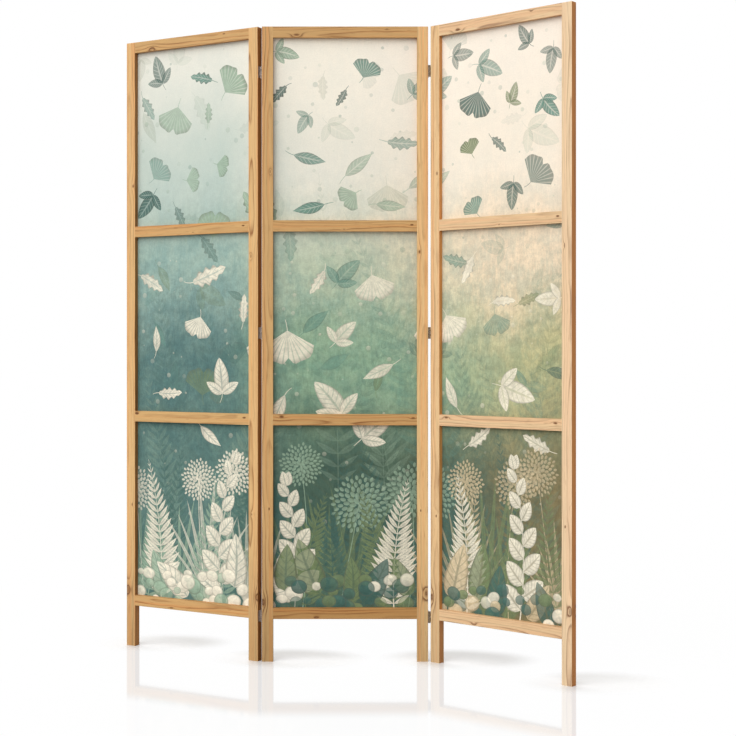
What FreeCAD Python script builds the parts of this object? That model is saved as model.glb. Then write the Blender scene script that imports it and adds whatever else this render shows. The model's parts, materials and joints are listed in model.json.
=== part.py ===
import FreeCAD, Part

import math
import os

import Sketcher

# Three-panel folding screen: three pine frames, each holding one printed sheet behind two muntins,
# joined by butt hinges so that it stands in a zigzag. The left line of hinges has its pins behind the
# frames and the right line has them in front, so the panels fold onto one another like a concertina.
# The left leaves are let into the stiles, which closes that joint, and the right leaves lie on the edges.
# Millimetres. +Z is up, the printed fronts look towards -Y, and the origin is on the floor in the middle
# of the screen's footprint.

DRIVING_SIZES = (
    # Panels
    ("panel_width", 450, "one panel, over its two stiles"),
    ("panel_height", 1720, "floor to the top of the frame"),
    ("frame_depth", 20, "thickness of the frame, front to back"),
    ("stile_width", 30, "upright members, seen from the front"),
    ("rail_width", 30, "rails and muntins, seen from the front"),
    ("leg_height", 115, "floor to the underside of the bottom rail"),
    ("edge_round", 1, "radius on the frame's outer edges"),
    ("left_fold_angle", 29.5, "degrees that the left panel is turned back from flat"),
    ("right_fold_angle", 40.5, "degrees that the right panel is turned forward from flat"),
    # Printed sheet and the beads that hold it
    ("sheet_setback", 13, "front of the frame to the sheet, and the muntins' thickness"),
    ("sheet_thickness", 0.6, "printed sheet"),
    ("sheet_edge_gap", 0.5, "room left around the sheet in its rebate"),
    ("rebate_width", 8, "rebate behind the sheet's edge, and the bead that fills it"),
    ("bead_chamfer", 2, "chamfer along the bead's inner edge"),
    ("brad_diameter", 1.2, "shank of the brads that nail the beads"),
    ("brad_length", 14, "whole brad"),
    ("brad_head_diameter", 2.4, "head of a brad"),
    ("brad_head_height", 0.6, "thickness of a brad's head"),
    ("brad_margin", 70, "end of a window to the first brad beside it"),
    ("brad_clearance", 0.02, "radial room around a brad in the hole that it makes"),
    # Dowelled joints
    ("dowel_diameter", 6, "beech dowel"),
    ("dowel_in_stile", 13, "length of a dowel held in the stile"),
    ("dowel_in_rail", 21, "length of a dowel held in the rail"),
    ("dowel_edge_margin", 7, "edge of the rail to the dowel's axis"),
    ("dowel_chamfer", 1, "chamfer on a dowel's ends"),
    ("dowel_clearance", 0.05, "radial room around a dowel"),
    ("hole_end_gap", 0.5, "room past the end of a dowel, a brad or a screw"),
    # Butt hinges
    ("hinge_height", 31, "one hinge"),
    ("hinge_end_inset", 121, "end of the stile to the middle of the top or bottom hinge"),
    ("hinge_middle_rise", 30, "middle hinge above the half height of the panel"),
    ("leaf_thickness", 1.5, "hinge leaf"),
    ("leaf_margin", 3, "leaf's free edge to the far face of the stile"),
    ("knuckle_count", 5, "knuckles of both leaves together"),
    ("knuckle_gap", 0.2, "room between neighbouring knuckles"),
    ("pin_diameter", 3, "hinge pin"),
    ("pin_clearance", 0.05, "radial room around the pin"),
    ("pin_standoff", 1.5, "face of the frame to the pin's axis"),
    ("left_joint_gap", 0.8, "left panel to centre panel when flat"),
    ("mortise_room", 0.3, "room around a leaf and its pin in a mortise of the left joint"),
    ("pin_head_overhang", 0.85, "peened end of the pin, past its shaft all round"),
    ("pin_head_height", 0.8, "height of a peened end"),
    ("pin_head_chamfer", 0.4, "chamfer on a peened end"),
    ("screw_diameter", 2.5, "countersunk hinge screw"),
    ("screw_length", 10, "whole screw"),
    ("screw_point", 2.5, "pointed end of the screw"),
    ("screw_clearance", 0.05, "radial room around a screw"),
    ("screw_end_margin", 7, "end of the leaf to the screw's axis"),
    ("recess_span", 2.6, "cross recess in the screw's head"),
    ("recess_width", 0.6, "arm of the cross recess"),
    ("recess_depth", 0.7, "depth of the cross recess"),
)

doc = FreeCAD.newDocument("folding_screen")
sheet = doc.addObject("Spreadsheet::Sheet", "Sizes")
for row, (name, value, meaning) in enumerate(DRIVING_SIZES, start=1):
    sheet.set(f"A{row}", name)
    sheet.set(f"B{row}", str(value))
    sheet.set(f"C{row}", meaning)
    sheet.setAlias(f"B{row}", name)
doc.recompute()

# Sizes that follow from the driving ones, as expressions on the sheet
RAIL_LENGTH = "(Sizes.panel_width - 2 * Sizes.stile_width)"
WINDOW_HEIGHT = "((Sizes.panel_height - Sizes.leg_height - 4 * Sizes.rail_width) / 3)"
RAIL_STEP = f"({WINDOW_HEIGHT} + Sizes.rail_width)"
RAIL_BASES = {
    "bottom_rail": "Sizes.leg_height",
    "lower_muntin": f"(Sizes.leg_height + {RAIL_STEP})",
    "upper_muntin": f"(Sizes.leg_height + 2 * {RAIL_STEP})",
    "top_rail": "(Sizes.panel_height - Sizes.rail_width)",
}
REBATE_BASE = "(Sizes.leg_height + Sizes.rail_width - Sizes.rebate_width)"
REBATE_TOP = "(Sizes.panel_height - Sizes.rail_width + Sizes.rebate_width)"
BEAD_DEPTH = "(Sizes.frame_depth - Sizes.sheet_setback - Sizes.sheet_thickness)"
DOWEL_DEPTH = "(Sizes.sheet_setback / 2)"
DOWEL_HOLE_RADIUS = "(Sizes.dowel_diameter / 2 + Sizes.dowel_clearance)"
BARREL_RADIUS = "(Sizes.pin_diameter / 2 + Sizes.pin_clearance + Sizes.leaf_thickness)"
BORE_RADIUS = "(Sizes.pin_diameter / 2 + Sizes.pin_clearance)"
LEAF_REACH = "(Sizes.pin_standoff + Sizes.frame_depth - Sizes.leaf_margin)"
SCREW_REACH = f"(({BARREL_RADIUS} + {LEAF_REACH}) / 2)"
SCREW_HALF_SPACING = "(Sizes.hinge_height / 2 - Sizes.screw_end_margin)"
SCREW_HEAD_RADIUS = "(Sizes.screw_diameter / 2 + Sizes.leaf_thickness)"
SCREW_HOLE_RADIUS = "(Sizes.screw_diameter / 2 + Sizes.screw_clearance)"
# Gap of the joint when flat, and how far the leaves are let into the stiles, by where the pins stand
JOINT_GAPS = {"behind": "Sizes.left_joint_gap", "before": f"(2 * {BARREL_RADIUS})"}
LET_IN = {pins: f"({BARREL_RADIUS} - {gap} / 2)" for pins, gap in JOINT_GAPS.items()}
HINGE_HEIGHTS = {
    "top": "(Sizes.panel_height - Sizes.hinge_end_inset)",
    "middle": "(Sizes.panel_height / 2 + Sizes.hinge_middle_rise)",
    "bottom": "Sizes.hinge_end_inset",
}
# Brads: heights of the nine in a side bead, and places of the three in a cross bead, in a panel
BRAD_HEIGHTS = [
    f"({base} + Sizes.rail_width + {WINDOW_HEIGHT} / 2 + {step} * ({WINDOW_HEIGHT} / 2 - Sizes.brad_margin))"
    for base in (RAIL_BASES["bottom_rail"], RAIL_BASES["lower_muntin"], RAIL_BASES["upper_muntin"])
    for step in (-1, 0, 1)
]
BRAD_ACROSS = [
    f"(Sizes.panel_width / 2 + {step} * ({RAIL_LENGTH} / 2 - Sizes.brad_margin))" for step in (-1, 0, 1)
]
LEFT_BRADS = "(Sizes.stile_width - Sizes.rebate_width / 2)"
RIGHT_BRADS = "(Sizes.panel_width - Sizes.stile_width + Sizes.rebate_width / 2)"
LOW_BRADS = f"({REBATE_BASE} + Sizes.rebate_width / 2)"
HIGH_BRADS = f"({REBATE_TOP} - Sizes.rebate_width / 2)"
BRAD_HOLE_RADIUS = "(Sizes.brad_diameter / 2 + Sizes.brad_clearance)"
BRAD_BITE = f"(Sizes.brad_length - {BEAD_DEPTH} - Sizes.sheet_thickness + Sizes.hole_end_gap)"
# Depth of the hinge screws in the stile, measured from the front, by where the pins stand
SCREW_DEPTHS = {
    "behind": f"(Sizes.frame_depth + Sizes.pin_standoff - {SCREW_REACH})",
    "before": f"({SCREW_REACH} - Sizes.pin_standoff)",
}


def number(expression):
    """The value of a size expression."""
    return float(sheet.evalExpression(expression))


def vector(across, deep, up):
    """A point from three size expressions."""
    return FreeCAD.Vector(number(across), number(deep), number(up))


def shift(across="0", deep="0", up="0"):
    return FreeCAD.Placement(vector(across, deep, up), FreeCAD.Rotation())


def turn(x, y, z, degrees):
    """A turn about an axis through the origin."""
    return FreeCAD.Placement(FreeCAD.Vector(), FreeCAD.Rotation(FreeCAD.Vector(x, y, z), degrees))


# Sketches and features

def new_body(label):
    return doc.addObject("PartDesign::Body", label)


def new_sketch(body, name, role, offset="0"):
    """A sketch on one of the body's origin planes, moved along the plane's normal."""
    sketch = body.newObject("Sketcher::SketchObject", f"{body.Label}_{name}")
    plane = next(item for item in body.Origin.OriginFeatures if item.Role == role)
    sketch.AttachmentSupport = [(plane, "")]
    sketch.MapMode = "FlatFace"
    if offset != "0":
        sketch.setExpression("AttachmentOffset.Base.z", offset)
    return sketch


def pin_point(sketch, item, point, across, up):
    """Holds a point of the sketch at two size expressions from its origin."""
    for kind, axis, expression in (("DistanceX", -2, across), ("DistanceY", -1, up)):
        if expression == "0":
            sketch.addConstraint(Sketcher.Constraint("PointOnObject", item, point, axis))
        else:
            rule = Sketcher.Constraint(kind, -1, 1, item, point, number(expression))
            index = sketch.addConstraint(rule)
            sketch.setExpression(f"Constraints[{index}]", expression)


def draw_polygon(sketch, corners):
    """A closed outline of straight lines through corners given as pairs of size expressions."""
    places = [vector(across, up, "0") for across, up in corners]
    lines = []
    for start, end in zip(places, places[1:] + places[:1]):
        lines.append(sketch.addGeometry(Part.LineSegment(start, end)))
    for line, following in zip(lines, lines[1:] + lines[:1]):
        sketch.addConstraint(Sketcher.Constraint("Coincident", line, 2, following, 1))
    for line, (across, up) in zip(lines, corners):
        pin_point(sketch, line, 1, across, up)


def draw_rectangle(sketch, left, right, low, high):
    draw_polygon(sketch, ((left, low), (right, low), (right, high), (left, high)))


def draw_circle(sketch, across, up, radius):
    circle = Part.Circle(vector(across, up, "0"), FreeCAD.Vector(0, 0, 1), number(radius))
    item = sketch.addGeometry(circle)
    index = sketch.addConstraint(Sketcher.Constraint("Radius", item, number(radius)))
    sketch.setExpression(f"Constraints[{index}]", radius)
    pin_point(sketch, item, 3, across, up)


def add_feature(body, kind, name, sketch, length, reverse=False, symmetric=False):
    """A pad or a pocket of the sketch."""
    feature = body.newObject(f"PartDesign::{kind}", f"{body.Label}_{name}")
    feature.Profile = sketch
    feature.setExpression("Length", length)
    feature.Reversed = reverse
    if symmetric:
        feature.SideType = "Symmetric"
    return feature


def add_revolution(body, name, sketch):
    """A full turn of the sketch about its own upright axis."""
    feature = body.newObject("PartDesign::Revolution", f"{body.Label}_{name}")
    feature.Profile = sketch
    feature.ReferenceAxis = (sketch, ["V_Axis"])
    feature.Angle = 360
    return feature


def dress_edges(body, kind, name, base, size_property, size, wanted):
    """A fillet or a chamfer on the edges of the base feature for which wanted(edge) is true."""
    doc.recompute()
    names = [f"Edge{index}" for index, edge in enumerate(base.Shape.Edges, start=1) if wanted(edge)]
    feature = body.newObject(f"PartDesign::{kind}", f"{body.Label}_{name}")
    feature.Base = (base, names)
    feature.setExpression(size_property, size)


def drill(body, name, face, towards_plus_x, places, radius, depth):
    """Blind round holes along X from the face at X = face, centred at pairs of depth and height."""
    sketch = new_sketch(body, f"{name}_centres", "YZ_Plane", face)
    for deep, up in places:
        draw_circle(sketch, deep, up, radius)
    add_feature(body, "Pocket", name, sketch, depth, reverse=towards_plus_x)


def drill_deep(body, name, face, forwards, places, radius, depth):
    """Blind round holes along Y from the plane at Y = face, centred at pairs of across and height."""
    sketch = new_sketch(body, f"{name}_centres", "XZ_Plane", f"-{face}" if face != "0" else "0")
    for across, up in places:
        draw_circle(sketch, across, up, radius)
    add_feature(body, "Pocket", name, sketch, depth, reverse=forwards)


# Frame members, each in its own frame with its front on Y = 0

def dowel_heights(rail_base):
    """Heights of the two dowels in the end of a rail that starts at rail_base."""
    low = f"({rail_base} + Sizes.dowel_edge_margin)"
    high = f"({rail_base} + Sizes.rail_width - Sizes.dowel_edge_margin)"
    return low, high


def cut_mortises(body, face, towards_plus_x):
    """Mortises for the three leaves and the ends of their pins, from the outer edge and open to the back."""
    outlines = new_sketch(body, "mortise_outlines", "YZ_Plane", face)
    half = "(Sizes.hinge_height / 2 + Sizes.pin_head_height + Sizes.mortise_room)"
    for middle in HINGE_HEIGHTS.values():
        draw_rectangle(outlines, "(Sizes.leaf_margin - Sizes.mortise_room)", "Sizes.frame_depth",
                       f"({middle} - {half})", f"({middle} + {half})")
    add_feature(body, "Pocket", "mortises", outlines, LET_IN["behind"], reverse=towards_plus_x)


def make_stile(label, inner_face_is_right, pins):
    """An upright with its stopped rebate, dowel holes and, where it is hinged, mortises and pilot holes."""
    body = new_body(label)
    section = new_sketch(body, "section", "XY_Plane")
    draw_rectangle(section, "0", "Sizes.stile_width", "0", "Sizes.frame_depth")
    blank = add_feature(body, "Pad", "blank", section, "Sizes.panel_height")
    width = number("Sizes.stile_width")
    depth = number("Sizes.frame_depth")
    height = number("Sizes.panel_height")
    outer_x = 0 if inner_face_is_right else width

    def on_outside(edge):
        """The two long outer edges, and the top edges apart from the one beside the rail."""
        middle = edge.BoundBox.Center
        long_outer = math.isclose(edge.Length, height) and math.isclose(middle.x, outer_x, abs_tol=0.01)
        top = math.isclose(middle.z, height)
        front_or_back = top and math.isclose(abs(middle.y - depth / 2), depth / 2)
        end = top and math.isclose(middle.x, outer_x, abs_tol=0.01)
        return long_outer or front_or_back or end

    dress_edges(body, "Fillet", "eased", blank, "Radius", "Sizes.edge_round", on_outside)

    if inner_face_is_right:
        inner, outer = "Sizes.stile_width", "0"
        rebate_span = "(Sizes.stile_width - Sizes.rebate_width)", "Sizes.stile_width"
        brad_line = LEFT_BRADS
    else:
        inner, outer = "0", "Sizes.stile_width"
        rebate_span = "0", "Sizes.rebate_width"
        brad_line = "(Sizes.rebate_width / 2)"
    rebate = new_sketch(body, "rebate_outline", "XZ_Plane", "-Sizes.sheet_setback")
    draw_rectangle(rebate, *rebate_span, REBATE_BASE, REBATE_TOP)
    add_feature(body, "Pocket", "rebate", rebate, "Sizes.frame_depth - Sizes.sheet_setback")

    brads = [(brad_line, up) for up in BRAD_HEIGHTS]
    drill_deep(body, "brad_holes", "Sizes.sheet_setback", True, brads, BRAD_HOLE_RADIUS, BRAD_BITE)
    dowels = [(DOWEL_DEPTH, up) for base in RAIL_BASES.values() for up in dowel_heights(base)]
    drill(body, "dowel_holes", inner, not inner_face_is_right, dowels, DOWEL_HOLE_RADIUS,
          "Sizes.dowel_in_stile + Sizes.hole_end_gap")
    if pins == "behind":
        cut_mortises(body, outer, inner_face_is_right)
    if pins:
        screws = []
        for middle in HINGE_HEIGHTS.values():
            screws.append((SCREW_DEPTHS[pins], f"({middle} - {SCREW_HALF_SPACING})"))
            screws.append((SCREW_DEPTHS[pins], f"({middle} + {SCREW_HALF_SPACING})"))
        drill(body, "pilot_holes", outer, inner_face_is_right, screws, SCREW_HOLE_RADIUS,
              f"{LET_IN[pins]} + Sizes.screw_length - Sizes.leaf_thickness + Sizes.hole_end_gap")
    return body


def rail_outline(kind):
    """The section of a rail or muntin, as pairs of depth and height."""
    front, back, top = "Sizes.sheet_setback", "Sizes.frame_depth", "Sizes.rail_width"
    step = "(Sizes.rail_width - Sizes.rebate_width)"
    if kind == "top_rail":
        step = "Sizes.rebate_width"
        return (("0", "0"), (front, "0"), (front, step), (back, step), (back, top), ("0", top))
    if kind == "bottom_rail":
        return (("0", "0"), (back, "0"), (back, step), (front, step), (front, top), ("0", top))
    return (("0", "0"), (front, "0"), (front, top), ("0", top))


def make_rail(label, kind):
    """A cross member, dowelled at both ends; the sheet passes behind a muntin and ends in a rail's rebate."""
    body = new_body(label)
    section = new_sketch(body, "section", "YZ_Plane")
    draw_polygon(section, rail_outline(kind))
    blank = add_feature(body, "Pad", "blank", section, RAIL_LENGTH)
    if kind in ("top_rail", "bottom_rail"):
        length = number(RAIL_LENGTH)
        outer_z = number("Sizes.rail_width") if kind == "top_rail" else 0

        def on_outside(edge):
            along = math.isclose(edge.Length, length)
            return along and math.isclose(edge.BoundBox.Center.z, outer_z, abs_tol=0.01)

        dress_edges(body, "Fillet", "eased", blank, "Radius", "Sizes.edge_round", on_outside)
        brad_line = LOW_BRADS if kind == "bottom_rail" else HIGH_BRADS
        brads = [(f"({across} - Sizes.stile_width)", f"({brad_line} - {RAIL_BASES[kind]})")
                 for across in BRAD_ACROSS]
        drill_deep(body, "brad_holes", "Sizes.sheet_setback", True, brads, BRAD_HOLE_RADIUS, BRAD_BITE)
    holes = [(DOWEL_DEPTH, up) for up in dowel_heights("0")]
    depth = "Sizes.dowel_in_rail + Sizes.hole_end_gap"
    drill(body, "left_dowel_holes", "0", True, holes, DOWEL_HOLE_RADIUS, depth)
    drill(body, "right_dowel_holes", RAIL_LENGTH, False, holes, DOWEL_HOLE_RADIUS, depth)
    return body


def brad_marks():
    """Every brad of a panel, as pairs of across and height."""
    upright = [(across, up) for up in BRAD_HEIGHTS for across in (LEFT_BRADS, RIGHT_BRADS)]
    level = [(across, up) for up in (LOW_BRADS, HIGH_BRADS) for across in BRAD_ACROSS]
    return upright + level


def make_printed_sheet(label):
    """One sheet for the whole panel, in the panel's frame, which lies on the back of the muntins."""
    body = new_body(label)
    outline = new_sketch(body, "outline", "XZ_Plane", "-Sizes.sheet_setback")
    inset = "(Sizes.stile_width - Sizes.rebate_width + Sizes.sheet_edge_gap)"
    draw_rectangle(outline, inset, f"(Sizes.panel_width - {inset})",
                   f"({REBATE_BASE} + Sizes.sheet_edge_gap)", f"({REBATE_TOP} - Sizes.sheet_edge_gap)")
    for across, up in brad_marks():
        draw_circle(outline, across, up, BRAD_HOLE_RADIUS)
    add_feature(body, "Pad", "cloth", outline, "Sizes.sheet_thickness", reverse=True)
    return body


# Patterns that are copied: beads, dowels, brads and screws

def make_bead(label, length, brad_heights):
    """A strip along Z, nailed up its middle, whose chamfered edge looks inwards (+X) and back (+Y)."""
    body = new_body(label)
    section = new_sketch(body, "section", "XY_Plane")
    chamfer_x = "(Sizes.rebate_width - Sizes.bead_chamfer)"
    chamfer_y = f"({BEAD_DEPTH} - Sizes.bead_chamfer)"
    draw_polygon(section, (("0", "0"), ("Sizes.rebate_width", "0"), ("Sizes.rebate_width", chamfer_y),
                           (chamfer_x, BEAD_DEPTH), ("0", BEAD_DEPTH)))
    add_feature(body, "Pad", "strip", section, length)
    brads = [("(Sizes.rebate_width / 2)", up) for up in brad_heights]
    drill_deep(body, "brad_holes", "0", False, brads, BRAD_HOLE_RADIUS, BEAD_DEPTH)
    seat = f"({BEAD_DEPTH} - Sizes.brad_head_height)"
    head_hole = "(Sizes.brad_head_diameter / 2 + Sizes.brad_clearance)"
    drill_deep(body, "brad_seats", seat, False, brads, head_hole, "Sizes.brad_head_height")
    return body


def make_dowel(label):
    """A dowel along Z with chamfered ends."""
    body = new_body(label)
    section = new_sketch(body, "section", "XY_Plane")
    draw_circle(section, "0", "0", "Sizes.dowel_diameter / 2")
    rod = add_feature(body, "Pad", "rod", section, "Sizes.dowel_in_stile + Sizes.dowel_in_rail")

    def round_the_end(edge):
        return edge.BoundBox.ZLength < edge.BoundBox.XLength

    dress_edges(body, "Chamfer", "chamfers", rod, "Size", "Sizes.dowel_chamfer", round_the_end)
    return body


def make_brad(label):
    """A brad along Z with the top of its head at Z = 0 and a blunt point at the foot."""
    body = new_body(label)
    profile = new_sketch(body, "profile", "XZ_Plane")
    shank = "(Sizes.brad_diameter / 2)"
    head = "(Sizes.brad_head_diameter / 2)"
    point = "(Sizes.brad_diameter - Sizes.brad_length)"
    under_head = "-Sizes.brad_head_height"
    draw_polygon(profile, (("0", "0"), ("0", "-Sizes.brad_length"), (shank, point),
                           (shank, under_head), (head, under_head), (head, "0")))
    add_revolution(body, "turned", profile)
    return body


def make_screw(label):
    """A countersunk screw along Z with the top of its head at Z = 0."""
    body = new_body(label)
    profile = new_sketch(body, "profile", "XZ_Plane")
    shank = "(Sizes.screw_diameter / 2)"
    point = "(Sizes.screw_point - Sizes.screw_length)"
    draw_polygon(profile, (("0", "0"), ("0", "-Sizes.screw_length"), (shank, point),
                           (shank, "-Sizes.leaf_thickness"), (SCREW_HEAD_RADIUS, "0")))
    add_revolution(body, "turned", profile)
    recess = new_sketch(body, "recess_outline", "XY_Plane")
    far, near = "(Sizes.recess_span / 2)", "(Sizes.recess_width / 2)"
    draw_polygon(recess, ((far, f"-{near}"), (far, near), (near, near), (near, far),
                          (f"-{near}", far), (f"-{near}", near), (f"-{far}", near), (f"-{far}", f"-{near}"),
                          (f"-{near}", f"-{near}"), (f"-{near}", f"-{far}"), (near, f"-{far}"),
                          (near, f"-{near}")))
    add_feature(body, "Pocket", "recess", recess, "Sizes.recess_depth")
    return body


def make_group(label, pattern, places):
    """Copies of one pattern piece, kept together as a group of separate solids."""
    links = []
    for index, place in enumerate(places, start=1):
        link = doc.addObject("App::Link", f"{label}_{index}")
        link.LinkedObject = pattern
        link.Placement = place
        links.append(link)
    group = doc.addObject("Part::Compound", label)
    group.Links = links
    return group


# Hinges, with the pin's axis on Z and +Y pointing away from the frame

def make_leaf(label, kept_knuckles):
    """A leaf for the stile on the +X side, curled round the pin and cut away for the other's knuckles."""
    body = new_body(label)
    section = new_sketch(body, "section", "XY_Plane")
    radius, bore, reach = number(BARREL_RADIUS), number(BORE_RADIUS), number(LEAF_REACH)
    meeting = -math.sqrt(radius ** 2 - bore ** 2)
    origin, normal = FreeCAD.Vector(), FreeCAD.Vector(0, 0, 1)
    round_whole = Part.Circle(origin, normal, radius)
    curl = section.addGeometry(Part.ArcOfCircle(round_whole, 0, 2 * math.pi + math.atan2(meeting, bore)))
    inner = section.addGeometry(Part.LineSegment(FreeCAD.Vector(bore, meeting), FreeCAD.Vector(bore, -reach)))
    end = section.addGeometry(Part.LineSegment(FreeCAD.Vector(bore, -reach), FreeCAD.Vector(radius, -reach)))
    outer = section.addGeometry(Part.LineSegment(FreeCAD.Vector(radius, -reach), FreeCAD.Vector(radius, 0)))
    for first, second in ((curl, inner), (inner, end), (end, outer), (outer, curl)):
        section.addConstraint(Sketcher.Constraint("Coincident", first, 2, second, 1))
    section.addConstraint(Sketcher.Constraint("Coincident", curl, 3, -1, 1))
    pin_point(section, curl, 1, BARREL_RADIUS, "0")
    section.addConstraint(Sketcher.Constraint("Vertical", inner))
    pin_point(section, inner, 2, BORE_RADIUS, f"-{LEAF_REACH}")
    pin_point(section, end, 2, BARREL_RADIUS, f"-{LEAF_REACH}")
    draw_circle(section, "0", "0", BORE_RADIUS)
    add_feature(body, "Pad", "blank", section, "Sizes.hinge_height", symmetric=True)

    cuts = new_sketch(body, "knuckle_cuts_outline", "YZ_Plane")
    clear = f"({BARREL_RADIUS} + Sizes.knuckle_gap)"
    pitch = "(Sizes.hinge_height / Sizes.knuckle_count)"
    for index in range(round(number("Sizes.knuckle_count"))):
        if index not in kept_knuckles:
            low = f"({index} * {pitch} - Sizes.hinge_height / 2 - Sizes.knuckle_gap / 2)"
            high = f"({index + 1} * {pitch} - Sizes.hinge_height / 2 + Sizes.knuckle_gap / 2)"
            draw_rectangle(cuts, f"-{clear}", clear, low, high)
    add_feature(body, "Pocket", "knuckle_cuts", cuts, f"4 * {BARREL_RADIUS}", symmetric=True)

    centres = new_sketch(body, "screw_centres", "YZ_Plane", BORE_RADIUS)
    for up in (f"-{SCREW_HALF_SPACING}", SCREW_HALF_SPACING):
        draw_circle(centres, f"-{SCREW_REACH}", up, SCREW_HOLE_RADIUS)
    doc.recompute()
    holes = body.newObject("PartDesign::Hole", f"{label}_screw_holes")
    holes.Profile = centres
    holes.Reversed = True
    holes.DepthType = "ThroughAll"
    holes.setExpression("Diameter", f"2 * {SCREW_HOLE_RADIUS}")
    holes.HoleCutType = "Countersink"
    holes.HoleCutCustomValues = True
    holes.setExpression("HoleCutDiameter", f"2 * ({SCREW_HEAD_RADIUS} + Sizes.screw_clearance)")
    holes.HoleCutCountersinkAngle = 90
    return body


def make_pin(label):
    """A hinge pin along Z, peened over at both ends."""
    body = new_body(label)
    profile = new_sketch(body, "profile", "XZ_Plane")
    half = "(Sizes.hinge_height / 2)"
    top = f"({half} + Sizes.pin_head_height)"
    edge = f"({top} - Sizes.pin_head_chamfer)"
    shaft = "(Sizes.pin_diameter / 2)"
    head = f"({shaft} + Sizes.pin_head_overhang)"
    crown = f"({head} - Sizes.pin_head_chamfer)"
    draw_polygon(profile, (("0", f"-{top}"), (crown, f"-{top}"), (head, f"-{edge}"), (head, f"-{half}"),
                           (shaft, f"-{half}"), (shaft, half), (head, half), (head, edge), (crown, top),
                           ("0", top)))
    add_revolution(body, "turned", profile)
    return body


# Where the panels and the lines of hinges stand

def stand_panels():
    """Placements of the three panels and of the two lines of hinges, with the footprint about the origin."""
    left_gap, right_gap = JOINT_GAPS["behind"], JOINT_GAPS["before"]
    left_pin = shift(f"-(Sizes.panel_width + {left_gap}) / 2", "Sizes.frame_depth + Sizes.pin_standoff")
    right_pin = shift(f"(Sizes.panel_width + {right_gap}) / 2", "-Sizes.pin_standoff")
    left_turn = turn(0, 0, 1, -number("Sizes.left_fold_angle"))
    right_turn = turn(0, 0, 1, -number("Sizes.right_fold_angle"))
    flat_left = shift(f"-1.5 * Sizes.panel_width - {left_gap}")
    flat_right = shift(f"Sizes.panel_width / 2 + {right_gap}")
    panels = {
        "left_panel": left_pin * left_turn * left_pin.inverse() * flat_left,
        "centre_panel": shift("-Sizes.panel_width / 2"),
        "right_panel": right_pin * right_turn * right_pin.inverse() * flat_right,
    }
    corners = []
    for place in panels.values():
        for across in ("0", "Sizes.panel_width"):
            for deep in ("0", "Sizes.frame_depth"):
                corners.append(place.multVec(vector(across, deep, "0")))
    xs = [corner.x for corner in corners]
    ys = [corner.y for corner in corners]
    middle = FreeCAD.Vector((min(xs) + max(xs)) / 2, (min(ys) + max(ys)) / 2, 0)
    centred = FreeCAD.Placement(-middle, FreeCAD.Rotation())
    panels = {name: centred * place for name, place in panels.items()}
    half_turn = turn(0, 0, 1, 180)
    other_side = turn(0, 1, 0, 180)
    hinges = {
        "left_hinge": (centred * left_pin, left_turn * other_side),
        "right_hinge": (centred * right_pin * half_turn, right_turn * other_side),
    }
    return panels, hinges


def bead_places():
    """Where the side beads and the cross beads lie in a panel."""
    deep = "Sizes.sheet_setback + Sizes.sheet_thickness"
    left = "Sizes.stile_width - Sizes.rebate_width"
    right = "Sizes.panel_width - Sizes.stile_width + Sizes.rebate_width"
    side = (
        shift(left, deep, REBATE_BASE),
        shift(right, deep, REBATE_TOP) * turn(0, 1, 0, 180),
    )
    cross = (
        shift("Sizes.panel_width - Sizes.stile_width", deep, REBATE_BASE) * turn(0, 1, 0, -90),
        shift("Sizes.stile_width", deep, REBATE_TOP) * turn(0, 1, 0, 90),
    )
    return side, cross


def dowel_places():
    """Two dowels in each end of each rail and muntin."""
    places = []
    for base in RAIL_BASES.values():
        for up in dowel_heights(base):
            left = shift("Sizes.stile_width - Sizes.dowel_in_stile", DOWEL_DEPTH, up)
            right = shift("Sizes.panel_width - Sizes.stile_width + Sizes.dowel_in_stile", DOWEL_DEPTH, up)
            places.append(left * turn(0, 1, 0, 90))
            places.append(right * turn(0, 1, 0, -90))
    return places


def brad_places():
    """The brads of a panel, driven from the back with their heads flush."""
    drive = turn(1, 0, 0, -90)
    return [shift(across, "Sizes.frame_depth", up) * drive for across, up in brad_marks()]


def screw_places():
    """The two screws of a leaf, driven towards +X from the leaf's inner face."""
    drive = turn(0, 1, 0, -90)
    heights = (f"-{SCREW_HALF_SPACING}", SCREW_HALF_SPACING)
    return [shift(BORE_RADIUS, f"-{SCREW_REACH}", up) * drive for up in heights]


# The screen

nodes = []


def add_node(piece, place):
    piece.Placement = place
    nodes.append(piece)


def add_panel(panel, place, patterns, pins):
    """One framed panel; pins says for its left and right stile on which face hinge pins stand, if any."""
    far = shift("Sizes.panel_width - Sizes.stile_width")
    add_node(make_stile(f"{panel}_left_stile", True, pins[0]), place)
    add_node(make_stile(f"{panel}_right_stile", False, pins[1]), place * far)
    for kind, base in RAIL_BASES.items():
        add_node(make_rail(f"{panel}_{kind}", kind), place * shift("Sizes.stile_width", "0", base))
    add_node(make_printed_sheet(f"{panel}_printed_sheet"), place)
    side_beads, cross_beads = bead_places()
    add_node(make_group(f"{panel}_side_beads", patterns["side_bead"], side_beads), place)
    add_node(make_group(f"{panel}_cross_beads", patterns["cross_bead"], cross_beads), place)
    add_node(make_group(f"{panel}_bead_brads", patterns["brad"], brad_places()), place)
    add_node(make_group(f"{panel}_dowels", patterns["dowel"], dowel_places()), place)


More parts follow.
